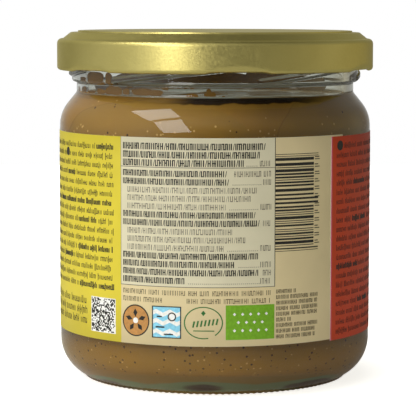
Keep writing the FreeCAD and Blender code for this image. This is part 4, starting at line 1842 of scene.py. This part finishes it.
@dataclass
class Studio:
    """Pale sweep, tall window lamp at the front left, soft surroundings and the camera.

    The surroundings are colours round the horizon, as shares of a turn from behind over the left,
    the front and the right, and colours upwards, from level to straight up. The lamp's panes and
    the floor are in metres, the camera's place in mm, and its dip and roll in radians.
    """

    panes: tuple[Pane, ...] = (
        Pane((-0.591, -0.400, 0.911), (0.134, -0.101, 0.188), (-0.016, 0.255, 0.144)),
        Pane((-0.558, -0.860, 0.378), (0.220, 0.008, 0.035), (-0.053, 0.118, 0.309)))
    lamp_power: float = 4.4
    lamp_colour: Colour = (1.0, 0.985, 0.955)
    ambient: float = 0.66
    horizon: tuple[tuple[float, Colour], ...] = (
        (0.0, (0.95, 0.95, 0.92)), (0.06, (0.90, 0.90, 0.86)), (0.10, (0.55, 0.55, 0.52)),
        (0.14, (0.44, 0.44, 0.41)), (0.26, (0.84, 0.84, 0.80)), (0.36, (0.90, 0.90, 0.87)),
        (0.42, (0.22, 0.22, 0.21)), (0.50, (0.06, 0.06, 0.06)), (0.56, (0.25, 0.25, 0.23)),
        (0.64, (0.42, 0.40, 0.33)), (0.75, (0.70, 0.64, 0.46)), (0.86, (0.66, 0.60, 0.43)),
        (0.91, (0.38, 0.36, 0.31)), (0.95, (0.55, 0.54, 0.50)), (1.0, (0.95, 0.95, 0.92)))
    ceiling: tuple[tuple[float, Colour], ...] = (
        (0.0, (0.45, 0.45, 0.42)), (0.45, (0.52, 0.52, 0.48)), (0.72, (0.42, 0.42, 0.39)),
        (0.93, (0.17, 0.17, 0.15)), (1.0, (0.13, 0.13, 0.11)))
    ceiling_start: Span = (0.12, 0.5)
    leftward: Span = (1.5, 0.85)
    camera_place: Point = (-1.85, -576.09, 101.50)
    camera_dip: float = 0.0972
    camera_roll: float = 0.0016
    camera_lens: float = 182.24
    sensor_width: float = 36.0
    nearest: float = 0.01
    floor_size: float = 0.75
    floor_rings: tuple[float, ...] = (0.1, 0.3, 0.6, 1.0)
    floor_columns: int = 96
    floor_level: float = -0.00005

    def sweep(self) -> None:
        """The floor: a flat round grid of rings just under the jar's foot."""
        count, columns = len(self.floor_rings), self.floor_columns
        turns = np.linspace(0.0, 2.0 * math.pi, columns, endpoint=False)
        rings = self.floor_size * np.array(self.floor_rings)[:, None]
        points = np.stack([rings * np.cos(turns), rings * np.sin(turns),
                           np.full((count, columns), self.floor_level)], axis=-1).reshape(-1, 3)
        points = np.concatenate([points, [[0.0, 0.0, self.floor_level]]])
        around = np.arange(columns)
        middle = np.full(columns, count * columns)
        faces = np.flip(turned_faces(count, columns), axis=1).tolist()
        faces += np.stack([around, (around + 1) % columns, middle], axis=1).tolist()
        mesh = bpy.data.meshes.new("floor_sweep")
        mesh.from_pydata(points.tolist(), [], faces)
        mesh.materials.append(StudioFloor().material())
        floor = bpy.data.objects.new("floor_sweep", mesh)
        bpy.context.scene.collection.objects.link(floor)

    def lamp(self) -> None:
        """The window lamp: a leaning upper pane over a more upright lower one, with a gap between."""
        for number, pane in enumerate(self.panes):
            across, up = Vector(pane.across), Vector(pane.up)
            upwards = up.normalized()
            side = (across - upwards * across.dot(upwards)).normalized()
            light = bpy.data.lights.new(f"window_pane_{number}", "AREA")
            light.shape = "RECTANGLE"
            light.size, light.size_y = 2.0 * across.length, 2.0 * up.length
            light.energy = self.lamp_power * math.pi * light.size * light.size_y
            light.color = self.lamp_colour
            turn = Matrix((side, upwards, side.cross(upwards))).transposed().to_4x4()
            lamp = bpy.data.objects.new(light.name, light)
            lamp.matrix_world = Matrix.Translation(Vector(pane.middle)) @ turn
            bpy.context.scene.collection.objects.link(lamp)

    def surroundings(self) -> None:
        """Soft studio light from all round, brighter at the left, and a white ground behind."""
        world = bpy.data.worlds.new("soft_studio")
        bpy.context.scene.world = world
        world.use_nodes = True
        tree = NodeTree(world.node_tree)
        way = tree.add("SeparateXYZ", {0: tree.add("TexCoord").outputs["Generated"]})
        across, up = way.outputs["X"], way.outputs["Z"]
        turn = tree.calculate("ARCTAN2", across, tree.product(way.outputs["Y"], -1.0))
        share = tree.calculate("MULTIPLY_ADD", turn, 0.5 / math.pi, 0.5)
        side_light = tree.remap(across, -0.7, 0.7, *self.leftward)
        overhead = tree.add("VectorMath", {0: tree.ramp(up, self.ceiling), "Scale": side_light},
                            operation="SCALE").outputs["Vector"]
        soft = tree.blend(tree.remap(up, *self.ceiling_start), tree.ramp(share, self.horizon),
                          overhead)
        seen = tree.add("LightPath").outputs["Is Camera Ray"]
        light = tree.add("Background", {
            "Color": tree.blend(seen, soft, (1.0, 1.0, 1.0)),
            "Strength": tree.remap(seen, 0.0, 1.0, self.ambient, 1.0)})
        tree.finish(light.outputs[0], "OutputWorld")

    def camera(self) -> None:
        """The camera, a little above the lid and looking slightly down at the jar."""
        lens = bpy.data.cameras.new("camera")
        lens.lens = self.camera_lens
        lens.sensor_width = self.sensor_width
        lens.clip_start = self.nearest
        eye = bpy.data.objects.new("camera", lens)
        place = Matrix.Translation(Vector(self.camera_place) * MM)
        dip = Matrix.Rotation(math.pi / 2.0 - self.camera_dip, 4, "X")
        eye.matrix_world = place @ dip @ Matrix.Rotation(self.camera_roll, 4, "Z")
        bpy.context.scene.collection.objects.link(eye)
        bpy.context.scene.camera = eye

    def build(self) -> None:
        """Set up the studio with plain colour handling."""
        self.sweep()
        self.lamp()
        self.surroundings()
        self.camera()
        view = bpy.context.scene.view_settings
        view.view_transform = "Standard"
        view.look = "None"
        view.exposure = 0.0
        view.gamma = 1.0


def main() -> None:
    """Build the studio and the jar's pieces in order."""
    logging.basicConfig(level=logging.INFO, format="%(message)s")
    Studio().build()
    jar = GlassJar()
    jar.build()
    TwistLid(jar).build()
    ButterFill(jar).build()
    sheet = LabelSheet(jar)
    sheet.build()
    LabelPrint(sheet).build()


if __name__ == "__main__":
    main()
